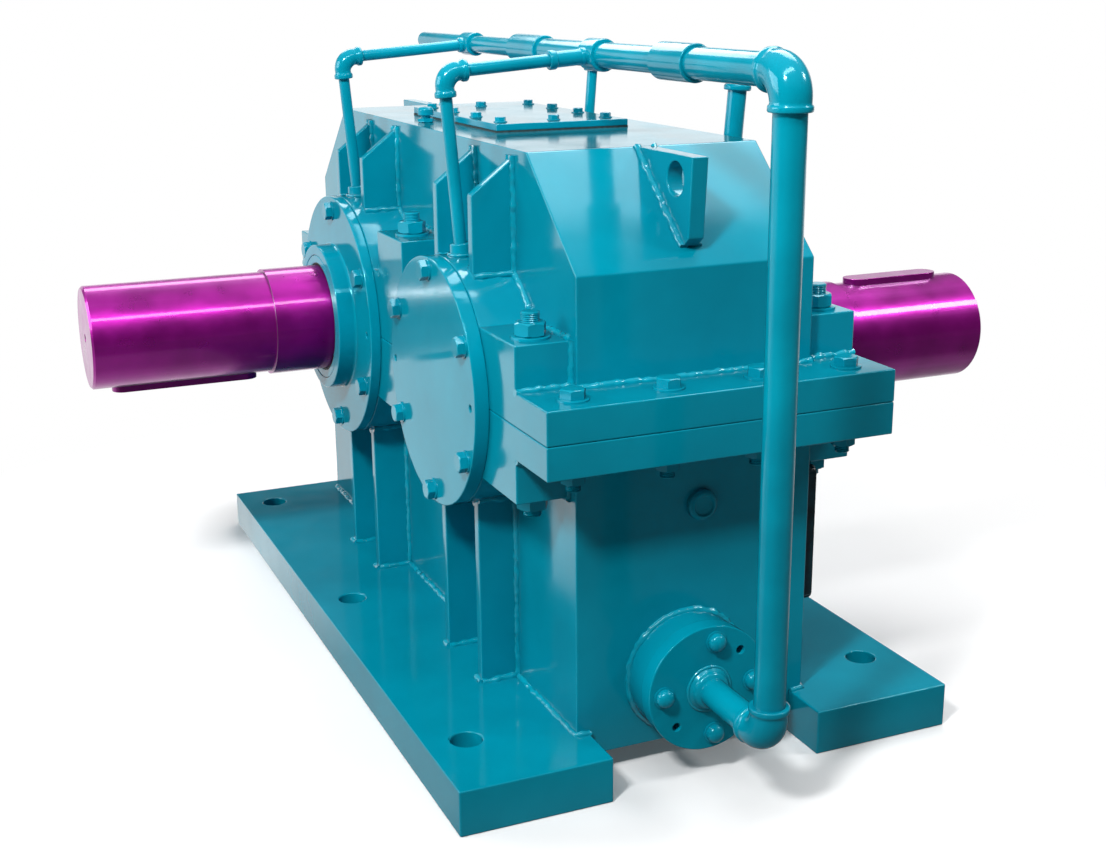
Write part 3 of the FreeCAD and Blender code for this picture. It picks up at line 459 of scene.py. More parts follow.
def close_tree(tree, geometry, finish, smoothed=True):
    """Ends a tree in real geometry with its finish."""
    whole = add(tree, "GeometryNodeRealizeInstances", links={"Geometry": geometry})
    if smoothed:
        whole = add(tree, "GeometryNodeSetShadeSmooth", links={"Geometry": whole.outputs["Geometry"]})
    painted = add(tree, "GeometryNodeSetMaterial", links={
        "Geometry": whole.outputs["Geometry"], "Material": finish})
    add(tree, "NodeGroupOutput", links={"Geometry": painted.outputs["Geometry"]})
    return tree


def fastener_tree():
    """One fastener on every point, its own Z along the point's facing and turned by the point's turn."""
    tree, source = new_tree("fasteners_on_points", [
        ("Fastener", "NodeSocketObject"), ("Finish", "NodeSocketMaterial")])
    piece = add(tree, "GeometryNodeObjectInfo", {"As Instance": True}, {"Object": source["Fastener"]})
    facing = add(tree, "GeometryNodeInputNamedAttribute", {"data_type": "FLOAT_VECTOR", "Name": "facing"})
    turn = add(tree, "GeometryNodeInputNamedAttribute", {"data_type": "FLOAT", "Name": "turn"})
    aligned = add(tree, "FunctionNodeAlignRotationToVector", {"axis": "Z"}, {"Vector": facing.outputs["Attribute"]})
    spin = add(tree, "FunctionNodeAxisAngleToRotation", {"Axis": (0, 0, 1)}, {"Angle": turn.outputs["Attribute"]})
    placed = add(tree, "FunctionNodeRotateRotation", {"rotation_space": "LOCAL"}, {
        "Rotation": aligned.outputs["Rotation"], "Rotate By": spin.outputs["Rotation"]})
    rows = add(tree, "GeometryNodeInstanceOnPoints", links={
        "Points": source["Geometry"], "Instance": piece.outputs["Geometry"], "Rotation": placed.outputs["Rotation"]})
    return close_tree(tree, rows.outputs["Instances"], source["Finish"], smoothed=False)


def bead_tree():
    """A rippled weld bead along every chain of edges."""
    tree, source = new_tree("weld_bead_along_edges", [
        ("Radius", "NodeSocketFloat"), ("Spacing", "NodeSocketFloat"), ("Ripple", "NodeSocketFloat"),
        ("Lump Size", "NodeSocketFloat"), ("Finish", "NodeSocketMaterial")])
    curves = add(tree, "GeometryNodeMeshToCurve", links={"Mesh": source["Geometry"]})
    even = add(tree, "GeometryNodeResampleCurve", {"mode": "LENGTH"}, {
        "Curve": curves.outputs["Curve"], "Length": source["Spacing"]})
    ring = add(tree, "GeometryNodeCurvePrimitiveCircle", {"Resolution": 7}, {"Radius": source["Radius"]})
    tube = add(tree, "GeometryNodeCurveToMesh", {"Fill Caps": True}, {
        "Curve": even.outputs["Curve"], "Profile Curve": ring.outputs["Curve"]})
    lumps = add(tree, "ShaderNodeTexNoise", {"Detail": 2.0}, {
        "Vector": add(tree, "GeometryNodeInputPosition").outputs["Position"], "Scale": source["Lump Size"]})
    centred = add(tree, "ShaderNodeMath", {"operation": "SUBTRACT", 1: 0.5}, {0: lumps.outputs["Fac"]})
    depth = add(tree, "ShaderNodeMath", {"operation": "MULTIPLY"}, {
        0: centred.outputs["Value"], 1: source["Ripple"]})
    outward = add(tree, "ShaderNodeVectorMath", {"operation": "SCALE"}, {
        "Vector": add(tree, "GeometryNodeInputNormal").outputs["Normal"], "Scale": depth.outputs["Value"]})
    rippled = add(tree, "GeometryNodeSetPosition", links={
        "Geometry": tube.outputs["Mesh"], "Offset": outward.outputs["Vector"]})
    return close_tree(tree, rippled.outputs["Geometry"], source["Finish"])


def pipe_tree():
    """A round pipe along every chain of edges, as wide at each point as the point says."""
    tree, source = new_tree("pipe_along_edges", [("Sides", "NodeSocketInt"), ("Finish", "NodeSocketMaterial")])
    curves = add(tree, "GeometryNodeMeshToCurve", links={"Mesh": source["Geometry"]})
    width = add(tree, "GeometryNodeInputNamedAttribute", {"data_type": "FLOAT", "Name": "pipe_radius"})
    ring = add(tree, "GeometryNodeCurvePrimitiveCircle", {"Radius": 1.0}, {"Resolution": source["Sides"]})
    tube = add(tree, "GeometryNodeCurveToMesh", {"Fill Caps": True}, {
        "Curve": curves.outputs["Curve"], "Profile Curve": ring.outputs["Curve"], "Scale": width.outputs["Attribute"]})
    return close_tree(tree, tube.outputs["Mesh"], source["Finish"])


def grown(name, mesh, tree, settings):
    """The plain mesh that a tree makes of a mesh, with the tree's named inputs set."""
    thing = put(mesh, name)
    modifier = thing.modifiers.new(tree.name, "NODES")
    modifier.node_group = tree
    for item in tree.interface.items_tree:
        if item.item_type == "SOCKET" and item.in_out == "INPUT" and item.name in settings:
            modifier[item.identifier] = settings[item.name]
    return baked(thing)


def chain_mesh(name, chains):
    """Chains of points, in millimetres, as loose edges."""
    edges = []
    first = 0
    for chain in chains:
        edges += [(first + index, first + index + 1) for index in range(len(chain) - 1)]
        first += len(chain)
    mesh = bpy.data.meshes.new(name)
    mesh.from_pydata([Vector(point) * MM for chain in chains for point in chain], edges, [])
    return mesh


FASTENERS = fastener_tree()
BEADS = bead_tree()
PIPES = pipe_tree()


def pipes(name, runs, node, sides=48):
    """Pipe runs, each a list of (point, radius), in the place of a CAD node."""
    mesh = chain_mesh(name, [[point for point, radius in run] for run in runs])
    widths = mesh.attributes.new("pipe_radius", "FLOAT", "POINT")
    widths.data.foreach_set("value", [radius * MM for run in runs for point, radius in run])
    thing = grown(name, mesh, PIPES, {"Sides": sides, "Finish": FITTING_ENAMEL})
    mark_creases(thing.data, 50)
    finish_piece(thing, FITTING_ENAMEL, (node,))


def fasteners(name, prototype, places, node):
    """Copies of one fastener at (point, facing) places, each turned a little differently."""
    mesh = bpy.data.meshes.new(name)
    mesh.from_pydata([Vector(point) * MM for point, facing in places], [], [])
    facing = mesh.attributes.new("facing", "FLOAT_VECTOR", "POINT")
    facing.data.foreach_set("vector", [part for point, way in places for part in way])
    turn = mesh.attributes.new("turn", "FLOAT", "POINT")
    turn.data.foreach_set("value", [0.9 * index + 0.25 * math.sin(7 * index) for index in range(len(places))])
    thing = grown(name, mesh, FASTENERS, {"Fastener": prototype, "Finish": FITTING_ENAMEL})
    seat(thing, CASING, (node,))


# Fasteners

def hexagon_rings(shape, half_flats, low, high, lower_chamfer):
    """Adds a hexagonal head whose corners are cut by the usual 30 degree cone."""
    steps = 24
    top_radius = half_flats * 0.93
    rings = []
    for level, ending in ((low, -1), (high, 1)):
        chamfered = ending == 1 or lower_chamfer
        corner_ring = []
        flat_ring = []
        for step in range(steps):
            angle = 2 * math.pi * step / steps
            from_flat = (angle + math.pi / 6) % (math.pi / 3) - math.pi / 6
            radius = half_flats / math.cos(from_flat)
            drop = max(0, radius - top_radius) * math.tan(math.radians(30)) if chamfered else 0
            way = Vector((math.cos(angle), math.sin(angle), 0))
            corner_ring.append(shape.verts.new((way * radius + UP * (level - ending * drop)) * MM))
            flat_ring.append(shape.verts.new((way * top_radius + UP * level) * MM))
        rings.append((corner_ring, flat_ring))
    (low_corners, low_flat), (high_corners, high_flat) = rings
    for ring, following in ((low_flat, low_corners), (low_corners, high_corners), (high_corners, high_flat)):
        for index in range(steps):
            shape.faces.new([ring[index - 1], ring[index], following[index], following[index - 1]])
    shape.faces.new(low_flat)
    shape.faces.new(high_flat)


def hexagon(name, half_flats, height, washer_radius, washer_height, stud_length=0, stud_radius=0):
    """A head or nut standing on its washer, with a threaded end above it if the stud has a length."""
    shape = bmesh.new()
    washer = [(0, -0.5), (washer_radius, -0.5), (washer_radius, washer_height), (0, washer_height)]
    turned(shape, eased(washer, 0.6), (0, 0, 0), UP, 32)
    base = washer_height + height
    hexagon_rings(shape, half_flats, washer_height, base, stud_length > 0)
    if stud_length:
        pitch, thread_depth = 3, 1.2
        profile = [(0, base - 1), (stud_radius, base - 1)]
        for turn in range(int(stud_length // pitch)):
            profile += [(stud_radius, base + turn * pitch), (stud_radius - thread_depth, base + (turn + 0.5) * pitch)]
        tip = base + stud_length
        profile += [(stud_radius, tip - 2), (stud_radius - 2, tip), (0, tip)]
        turned(shape, profile, (0, 0, 0), UP, 20)
    piece = solid(shape, name)
    smooth(piece.data)
    mark_creases(piece.data, 28)
    return piece


def dome(name, radius, height):
    """A domed bolt head on a thin flange."""
    shape = bmesh.new()
    arc = [(radius * math.cos(a), height * 0.35 + height * 0.65 * math.sin(a))
           for a in [math.pi / 2 * step / 6 for step in range(6)]]
    profile = [(0, -0.5), (radius + 3, -0.5), (radius + 3, 2), (radius, 2.5)] + arc + [(0, height)]
    turned(shape, profile, (0, 0, 0), UP, 28)
    piece = solid(shape, name)
    smooth(piece.data)
    return piece


def cover_thickness(line, side):
    return THROUGH_COVER if side == line["side"] else BLIND_COVER


def make_fasteners():
    """Every head and nut, from one prototype for each size."""
    # half the width across flats, height, washer radius and thickness, then the length and radius of a stud's end
    cover_bolt = hexagon("m20_head", 15, 13, 19, 2.5)
    flange_bolt = hexagon("m24_head", 18, 15, 25, 3)
    flange_nut = hexagon("m24_nut", 18, 19, 25, 3, 12, 12)
    cap_bolt = hexagon("m30_nut_on_top", 23, 22, 31, 4, 16, 15)
    cap_nut = hexagon("m30_nut_below", 23, 20, 31, 4, 12, 15)
    lid_bolt = hexagon("m12_head", 9, 7.5, 12.5, 1.8)
    pipe_bolt = dome("domed_pipe_flange_bolt", 15.5, 17)

    for name, line in LINES.items():
        places = []
        for side in SIDES:
            centre = (line["x"], side * (HOUSING_FACE + cover_thickness(line, side)), AXIS_Z)
            places += [(around(centre, line["circle"], math.radians(60 * index + 30)), (0, side, 0))
                       for index in range(6)]
        fasteners(name + "_cover_hex_bolts", cover_bolt, places, name + "_cover_bolts")

    corners = [(x, side * y) for x, y in FLANGE_BOLTS for side in SIDES]
    fasteners("split_flange_hex_bolts", flange_bolt, [((x, y, FLANGE_TOP), UP) for x, y in corners], "flange_bolts")
    fasteners("split_flange_hex_nuts", flange_nut,
              [((x, y, FLANGE_UNDERSIDE), DOWN) for x, y in corners], "flange_nuts")
    caps = [(x, side * CAP_BOLT_Y, top) for x, top in CAP_BOLTS for side in SIDES]
    fasteners("bearing_cap_studs", cap_bolt, [(place, UP) for place in caps], "cap_bolts")
    fasteners("bearing_cap_nuts", cap_nut, [((x, y, SADDLE_UNDERSIDE), DOWN) for x, y, top in caps], "cap_nuts")
    lid_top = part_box("inspection_cover")[1].z / MM
    rows = [(share * LID_BOLTS_X, side * LID_BOLTS_Y) for share in (-1, -1 / 3, 1 / 3, 1) for side in SIDES]
    rows += [(-LID_BOLTS_X, 0), (LID_BOLTS_X, 0)]
    fasteners("inspection_cover_hex_bolts", lid_bolt,
              [((LID_X + x, y, lid_top), UP) for x, y in rows], "inspection_bolts")
    fasteners("domed_pipe_flange_bolts", pipe_bolt,
              [(around(outlet_point(PIPE_FLANGE_FACE), PIPE_FLANGE_CIRCLE, math.radians(degrees), (0, 1, 0)), FORWARD)
               for degrees in (0, 82, 180, -82)], "pipe_flange_bolts")
    for made in (cover_bolt, flange_bolt, flange_nut, cap_bolt, cap_nut, lid_bolt, pipe_bolt):
        bpy.data.objects.remove(made)


# Casing plates

def make_plates():
    softened("upper_casing", "upper_casing_weldment", 2.5)
    softened("lower_casing", "lower_casing_weldment", 2.5)
    softened("left_foot_plate", "left_foundation_plate", 3)
    softened("right_foot_plate", "right_foundation_plate", 3)
    softened("near_lifting_lug", "near_lug_plate", 2.5)
    softened("far_lifting_lug", "far_lug_plate", 2.5)
    softened("inspection_cover", "inspection_cover_plate", 1.5)
    softened("level_gauge", "level_gauge_body", 3, GAUGE, slot="gauge_black")
    softened("output_key", "output_shaft_key", 1, LACQUER, OUTPUT, STEEL_SLOT)
    softened("input_key", "input_shaft_key", 1, LACQUER, INPUT, STEEL_SLOT)


# Bearing covers and seals

def make_covers():
    """Two covers a shaft line: a through one with a raised hub where the shaft comes out, and a blind one."""
    for name, line in LINES.items():
        for side in SIDES:
            through = side == line["side"]
            node = name + ("_seal_cover" if through else "_blind_cover")
            radius, thickness = line["housing"], cover_thickness(line, side)
            profile = [(0, 0), (radius, 0), (radius, thickness), (0, thickness)]
            if through:
                profile = [(125, 0), (radius, 0), (radius, thickness), (147, thickness), (145, 24), (145, 55),
                           (125, 55)]
            shape = bmesh.new()
            turned(shape, eased(profile, 2.5, through), (line["x"], side * HOUSING_FACE, AXIS_Z), (0, side, 0),
                   128, through)
            cover = solid(shape, node + "_turned")
            # two tapped jacking holes on the bolt circle
            centre = (line["x"], side * (HOUSING_FACE + thickness), AXIS_Z)
            mouths = [around(centre, line["circle"], turn) for turn in (0, math.pi)]
            finish_piece(drilled(cover, mouths, (0, -side, 0), 6, 14), TURNED_ENAMEL, (node,))
    case = bmesh.new()
    lip = bmesh.new()
    for line in LINES.values():
        start, outwards = (line["x"], line["side"] * SEAL_START, AXIS_Z), (0, line["side"], 0)
        turned(case, eased([(109, 0), (124.9, 0), (124.9, 18), (123.5, 19.5), (111, 19.5), (109, 18)], 0.8, True, 2),
               start, outwards, 96, True)
        turned(lip, eased([(105.3, 2), (109.2, 2), (109.2, 17), (107.5, 16), (105.6, 18)], 0.6, True, 2),
               start, outwards, 96, True)
    finish_piece(solid(case, "painted_seal_cases"), TURNED_ENAMEL, ("shaft_seals",))
    finish_piece(solid(lip, "shaft_seal_lips"), RUBBER, slot="seal_rubber")


# Oil pipes

def outlet_point(x):
    return Vector((x, PIPE_Y, OUTLET_Z))


def header_point(x):
    return Vector((x, PIPE_Y, HEADER_Z))


def elbow_run(pipe_radius, corner, first, second):
    """Points and radii of a screwed elbow with a rolled bead at each mouth."""
    bend = pipe_radius + BEND_OVER_PIPE
    body_radius = pipe_radius + 5
    bead = body_radius + 2.5
    reach = bend + MOUTH_BEYOND_BEND
    centre = corner + (first + second) * bend
    mouth = [(reach, bead - 2.5), (reach - 0.4, bead - 1), (reach - 2, bead), (reach - 7, bead),
             (reach - 9, bead - 0.8), (reach - 10.5, body_radius), (bend + 0.5, body_radius)]
    run = [(corner + first * far, radius) for far, radius in mouth]
    steps = 14
    for step in range(steps + 1):
        turn = math.pi / 2 * step / steps
        point = centre - second * (bend * math.cos(turn)) - first * (bend * math.sin(turn))
        run.append((point, body_radius + 1.2 * math.sin(2 * turn)))
    return run + [(corner + second * far, radius) for far, radius in reversed(mouth)]


def collar_run(start, along, length, radius, ease=2):
    """A short sleeve with rounded ends."""
    stations = [(0, radius - ease), (0.4, radius - ease * 0.4), (ease, radius), (length - ease, radius),
                (length - 0.4, radius - ease * 0.4), (length, radius - ease)]
    return [(start + along * far, wide) for far, wide in stations]


def make_outlet_pipes():
    """The pipe flange, and the pipe from it up the end and back over the top in three stepped sizes."""
    shape = bmesh.new()
    depth = PIPE_FLANGE_FACE - PAD_FACE
    profile = [(0, 0), (PIPE_FLANGE_RADIUS, 0), (PIPE_FLANGE_RADIUS, depth), (0, depth)]
    turned(shape, eased(profile, 2.5), outlet_point(PAD_FACE), FORWARD, 112)
    flange = solid(shape, "oil_outlet_flange")
    mouths = [around(outlet_point(PIPE_FLANGE_FACE), PIPE_FLANGE_CIRCLE, math.radians(degrees), (0, 1, 0))
              for degrees in (45, -135)]
    finish_piece(drilled(flange, mouths, BACK, 7, 16), TURNED_ENAMEL, ("pipe_flange",))

    socket = RISER_RADIUS + BEND_OVER_PIPE + PIPE_BEYOND_BEND
    low, high = outlet_point(RISER_X), header_point(RISER_X)
    neck = [(0, NECK_RADIUS), (2, 37), (6, 33), (9, 31.5), (12, 31), (14, 28), (16, RISER_RADIUS)]
    stub = [(outlet_point(PIPE_FLANGE_FACE + far), radius) for far, radius in neck]
    far_end = -520
    lengths = {
        "oil_outlet_stub": ("stub_pipe", [stub + [(low + BACK * socket, RISER_RADIUS)]]),
        "lower_screwed_elbow": ("lower_elbow", [elbow_run(RISER_RADIUS, low, BACK, UP)]),
        "oil_riser": ("riser_pipe", [[(low + UP * socket, RISER_RADIUS), (high + DOWN * socket, RISER_RADIUS)]]),
        "upper_screwed_elbow": ("upper_elbow", [elbow_run(RISER_RADIUS, high, DOWN, BACK)]),
        "oil_header_near_length": ("header_near", [
            [(header_point(708), RISER_RADIUS), (high + BACK * socket, RISER_RADIUS)]]),
        "oil_header_middle_length": ("header_middle", [
            [(header_point(148), MIDDLE_RADIUS), (header_point(612), MIDDLE_RADIUS)]]),
        "oil_header_far_length": ("header_far", [
            [(header_point(far_end), FAR_RADIUS - 6), (header_point(far_end + 1), FAR_RADIUS - 3),
             (header_point(far_end + 4), FAR_RADIUS), (header_point(24), FAR_RADIUS)]]),
        "oil_header_couplings": ("header_couplings", [
            collar_run(header_point(716), BACK, 106, RISER_RADIUS + 5),
            collar_run(header_point(150), BACK, 128, MIDDLE_RADIUS + 5)]),
    }
    for name, (node, runs) in lengths.items():
        pipes(name, runs, node, 40 if node == "header_far" else 48)


def branch_ways(side):
    """Unit vectors along a branch pipe and down its drop pipe."""
    along = Vector((0, side * math.cos(BRANCH_TILT), -math.sin(BRANCH_TILT)))
    down = Vector((0, -side * math.sin(BRANCH_TILT), -math.cos(BRANCH_TILT)))
    return along, down


def make_branch_pipes():
    """Branches, elbows, drop pipes and inlet bosses of the four bearings, and the tee bands on the header.

    Gives back the rings where the bosses are welded on, as (centre, radius).
    """
    bands, branches, elbows, drops, bosses, rings = [], [], [], [], [], []
    settings = (("output", FAR_RADIUS, (BRANCH_RADIUS, BRANCH_RADIUS)),
                ("input", MIDDLE_RADIUS, (BRANCH_RADIUS, WIDE_BRANCH_RADIUS)))
    for name, header_radius, radii in settings:
        line = LINES[name]
        tee = header_point(line["x"])
        bands.append(collar_run(tee - FORWARD * (TEE_BAND / 2), FORWARD, TEE_BAND, header_radius + 6, 3))
        for side, radius in zip(SIDES, radii):
            along, down = branch_ways(side)
            bend = radius + BEND_OVER_PIPE
            crest = AXIS_Z + line["housing"]
            reach = math.cos(BRANCH_TILT) * (BRANCH_OFFSET + (HEADER_Z - crest) * math.tan(BRANCH_TILT))
            corner = tee + along * reach
            landing = corner + down * ((crest - corner.z) / down.z)
            start = tee + along * (header_radius - 2)
            end = corner - along * (bend + PIPE_BEYOND_BEND)
            if name == "input" and side == -1:
                # this branch starts wider, and a reducer takes it down
                narrowing = tee + along * REDUCER
                branches.append([(start, REDUCED_RADIUS), (narrowing, REDUCED_RADIUS)])
                branches.append([(narrowing, radius), (end, radius)])
                branches.append(collar_run(tee + along * (REDUCER - 6), along, 13, 16))
            else:
                branches.append([(start, radius), (end, radius)])
            branches.append(collar_run(tee + along * (header_radius + 1), along, 12, radius + 4, 3))
            elbows.append(elbow_run(radius, corner, -along, down))
            drops.append([(corner + down * (bend + PIPE_BEYOND_BEND), radius), (landing - down * 16, radius)])
            boss = radius + 8
            bosses.append([(landing + down * far, boss + wider)
                           for far, wider in ((-20, -5), (-19.4, -2.5), (-17.5, -1), (-3, 0), (3, 3))])
            rings.append((landing + UP, boss + 2.5))
    pipes("header_tee_bands", bands, "header_bands", 40)
    pipes("bearing_oil_branches", branches, "branch_pipes", 32)
    pipes("branch_screwed_elbows", elbows, "branch_elbows", 32)
    pipes("bearing_oil_drops", drops, "drop_pipes", 32)
    pipes("bearing_oil_inlet_bosses", bosses, "inlet_bosses", 32)
    return rings


# Weld beads

def circle_chain(centre, radius, first, second, steps=48, start=0.0, end=2 * math.pi):
    return [around(centre, radius, start + (end - start) * step / steps, first, second) for step in range(steps + 1)]


def lay_beads(name, chains, radius, spacing, ripple, lump):
    """A weld bead along each chain; its sizes are in millimetres."""
    beads = grown(name, chain_mesh(name, chains), BEADS, {
        "Radius": radius * MM, "Spacing": spacing * MM, "Ripple": ripple * MM, "Lump Size": per_mm(lump),
        "Finish": WELD_ENAMEL})
    seat(beads, CASING)


def make_weld_beads(boss_rings):
    """The seams of the casing: housings, ribs, saddles, blocks, flange, foot plates, lugs, pad and oil inlets."""
    upper, lower = [], []
    cap_half = SADDLE_TOP - AXIS_Z
    # where the saddles' faces meet the round housings, from each axis
    input_reach, output_reach = (math.sqrt(LINES[name]["housing"] ** 2 - cap_half ** 2) for name in ("input", "output"))
    hood_slope = (HOOD_TOP - SHOULDER) / (HOOD_NEAR - HIP_NEAR)
    for side in SIDES:
        hood, sump, face, outer = side * HOOD_Y, side * SUMP_Y, side * HOUSING_FACE, side * RIB_OUTER_Y
        halves = ((upper, hood, UP, RIB_WALL_TOP, FLANGE_TOP, SADDLE_TOP, (HOOD_NEAR, HOOD_FAR)),
                  (lower, sump, DOWN, FOOT_TOP, FLANGE_UNDERSIDE, SADDLE_UNDERSIDE, (SUMP_NEAR, SUMP_FAR)))
        for seams, wall, way, rib_end, flange, cap, ends in halves:
            for line in LINES.values():
                x, radius = line["x"], line["housing"]
                start = math.asin(cap_half / radius)
                seams.append(circle_chain((x, wall, AXIS_Z), radius, FORWARD, way, 40, start, math.pi - start))
                for rib in (x - RIB_OFFSET, x + RIB_OFFSET):
                    for edge in (rib - RIB_HALF, rib + RIB_HALF):
                        crown = AXIS_Z + way.z * math.sqrt(radius ** 2 - (edge - x) ** 2)
                        seam = [(edge, outer, crown), (edge, wall, crown), (edge, wall, rib_end)]
                        seams.append(seam + [(edge, outer, FOOT_TOP)] if seams is lower else seam)
                    if seams is lower:
                        seams.append([(rib - RIB_HALF, outer, FOOT_TOP), (rib + RIB_HALF, outer, FOOT_TOP)])
            seams.append([(SADDLE_NEAR, wall, cap), (INPUT_X + input_reach, wall, cap)])
            seams.append([(SADDLE_FAR, wall, cap), (OUTPUT_X - output_reach, wall, cap)])
            for saddle, end in zip((SADDLE_NEAR, SADDLE_FAR), ends):
                seams.append([(saddle, face, flange), (saddle, wall, flange), (end, wall, flange)])
                seams.append([(saddle, wall, flange), (saddle, wall, cap)])
        for x in (BLOCK_NEAR, BLOCK_FAR):
            upper.append([(x, face, SADDLE_TOP), (x, hood, SADDLE_TOP), (x, hood, BLOCK_TOP)])
        upper.append([(BLOCK_NEAR, hood, BLOCK_TOP), (BLOCK_FAR, hood, BLOCK_TOP)])
        lower.append([(INPUT_X - input_reach, sump, SADDLE_UNDERSIDE),
                      (OUTPUT_X + output_reach, sump, SADDLE_UNDERSIDE)])
        lower.append([(SUMP_NEAR, side * FOOT_INNER_Y, FOOT_TOP), (SUMP_NEAR, sump, FOOT_TOP),
                      (SUMP_FAR, sump, FOOT_TOP), (SUMP_FAR, side * FOOT_INNER_Y, FOOT_TOP)])
        for hip, way in ((HIP_NEAR, 1), (HIP_FAR, -1)):
            upper.append([(hip, side * LUG_HALF, HOOD_TOP),
                          (hip + way * LUG_REACH, side * LUG_HALF, HOOD_TOP - LUG_REACH * hood_slope)])
    for hood_end, sump_end in ((HOOD_NEAR, SUMP_NEAR), (HOOD_FAR, SUMP_FAR)):
        upper.append([(hood_end, -HOOD_Y, FLANGE_TOP), (hood_end, HOOD_Y, FLANGE_TOP)])
        lower.append([(sump_end, -SUMP_Y, FLANGE_UNDERSIDE), (sump_end, SUMP_Y, FLANGE_UNDERSIDE)])
    lower.append(circle_chain((SUMP_NEAR, PIPE_Y, OUTLET_Z), PAD_RADIUS, (0, 1, 0), UP))
    lay_beads("upper_casing_weld_beads", upper, 7, 4, 12, 13)
    lay_beads("lower_casing_weld_beads", lower, 7, 4, 12, 13)
    small = [circle_chain(centre, radius, FORWARD, (0, 1, 0), 24) for centre, radius in boss_rings]
    small.append(circle_chain(outlet_point(PIPE_FLANGE_FACE), NECK_RADIUS, (0, 1, 0), UP, 32))
    lay_beads("pipe_weld_beads", small, 3, 3.2, 2.6, 8)


# Small fittings on the casing

def make_fittings():
    """The hexagon drain plug at the far end, the round plug on the near one, and the breather on the hood."""
    shape = bmesh.new()
    turned(shape, eased([(0, -1), (30, -1), (30, 3), (0, 3)], 1), (0, 0, 0), UP, 40)
    hexagon_rings(shape, 24, 3, 14, False)
    shape.transform(Matrix.Translation((SUMP_FAR * MM, 0, DRAIN_Z * MM)) @ Matrix.Rotation(-math.pi / 2, 4, "Y"))
    plug_face = [(0, -1), (26, -1), (26, 9), (22, 13), (18, 14), (16, 10), (10, 9.5), (0, 9)]
    turned(shape, eased(plug_face, 1.2), ROUND_PLUG, FORWARD, 48)
    finish_piece(solid(shape, "sump_plugs"), FITTING_ENAMEL, ("casing_plugs",))

    shape = bmesh.new()
    hexagon_rings(shape, 14, 0, 8, True)
    cap = [(0, 7), (9, 7), (9, 13), (15, 13.5), (15.5, 24), (12, 28.5), (0, 30)]
    turned(shape, eased(cap, 1.2), (0, 0, 0), UP, 32)
    shape.transform(Matrix.Translation([place * MM for place in BREATHER]))
    finish_piece(solid(shape, "hood_breather"), FITTING_ENAMEL, ("breather",))


# Pieces that keep their CAD shape and take a finish

def paint_kept_nodes():
    for material, names in (
            (LACQUER, ("output_shaft", "input_shaft")),
            (GEAR_STEEL, ("gear_wheel", "pinion", "wheel_key", "pinion_key")),
            (BEARING_STEEL, ("output_rollers", "input_rollers", "bearing_outer_rings")),
            (FIBRE, ("inspection_gasket",))):
        for name in names:
            paint(frame["nodes"][name].data, material)


# Studio, in metres

# The light from all around, and the walls and the ceiling as gloss mirrors them
FILL_LIGHT, DARK_ROOM, CEILING = 0.055, 0.05, 0.45
# What the camera sees added to the floor, where 1 is white, and the ring in which the floor turns all white
FLOOR_LIFT, FLOOR_FADE, FLOOR_HALF = 0.06, (0.9, 1.7), 9
# The floor's colour to the machine, which it throws light back on, and to the camera
FLOOR_BOUNCE, FLOOR_COLOURS = "#888888", ("#F2F2F2", "#F6F6F6")
# How bright gloss mirrors the floor, by the share of the way from -1 m to 1 m along X: white to the far side, half
# lit under the machine and dark in front of it
FLOOR_IN_GLOSS = ((0.25, 1.0), (0.55, 0.35), (0.85, 0.35), (0.96, 0.1))
# Each lamp's place, the point it faces, its size and its watts
LAMPS = {
    # casts the dark band under the flange
    "key_lamp": ((2.7, -2.8, 3.85), (0.4, -2.8, 0.4), (0.8, 0.45), 188),
    # the bright streaks along the shafts; the left one also shows in the near cover, through the shaft
    "left_shaft_strip": ((1.65, -0.55, 2.75), (-0.3, -0.55, 0.6), (1.8, 0.3), 23),
    "right_shaft_strip": ((1.8, 2.4, 2.75), (0.4, 2.4, 0.6), (0.9, 0.5), 34),
    # the tops, and the pale patches on the hood's slope
    "ceiling_softbox": ((-0.75, 1.15, 3.3), (-0.75, 1.15, 0), (2.4, 1.5), 72),
    "slope_panel": ((0.58, 1.25, 3.3), (0.58, 1.25, 0), (0.26, 1.3), 3),
    # soft light on the left side, and a pale window behind
    "left_softbox": ((-0.6, -3.4, 1.9), (0, 0, 0.6), (2.4, 1.6), 66),
    "back_window": ((-3.0, 0.3, 3.0), (0, 0, 0.8), (2.2, 0.9), 30),
}
# The camera: where it stands round its target, in degrees and metres, and its lens in millimetres
VIEW_AZIMUTH, VIEW_ELEVATION, VIEW_ROLL = (math.radians(degrees) for degrees in (66.55, 16.2, -0.44))
VIEW_TARGET, VIEW_DISTANCE, LENS, SENSOR = Vector((0.0469, 0.0391, 0.3920)), 3.0719, 49.57, 36


def make_lamps():
    for name, (place, target, size, watts) in LAMPS.items():
        lamp = bpy.data.lights.new(name, "AREA")
        lamp.shape = "RECTANGLE"
        lamp.size, lamp.size_y = size
        lamp.energy = watts
        thing = bpy.data.objects.new(name, lamp)
        way = Vector(target) - Vector(place)
        thing.matrix_world = Matrix.Translation(place) @ way.to_track_quat("-Z", "Y").to_matrix().to_4x4()
        bpy.context.scene.collection.objects.link(thing)


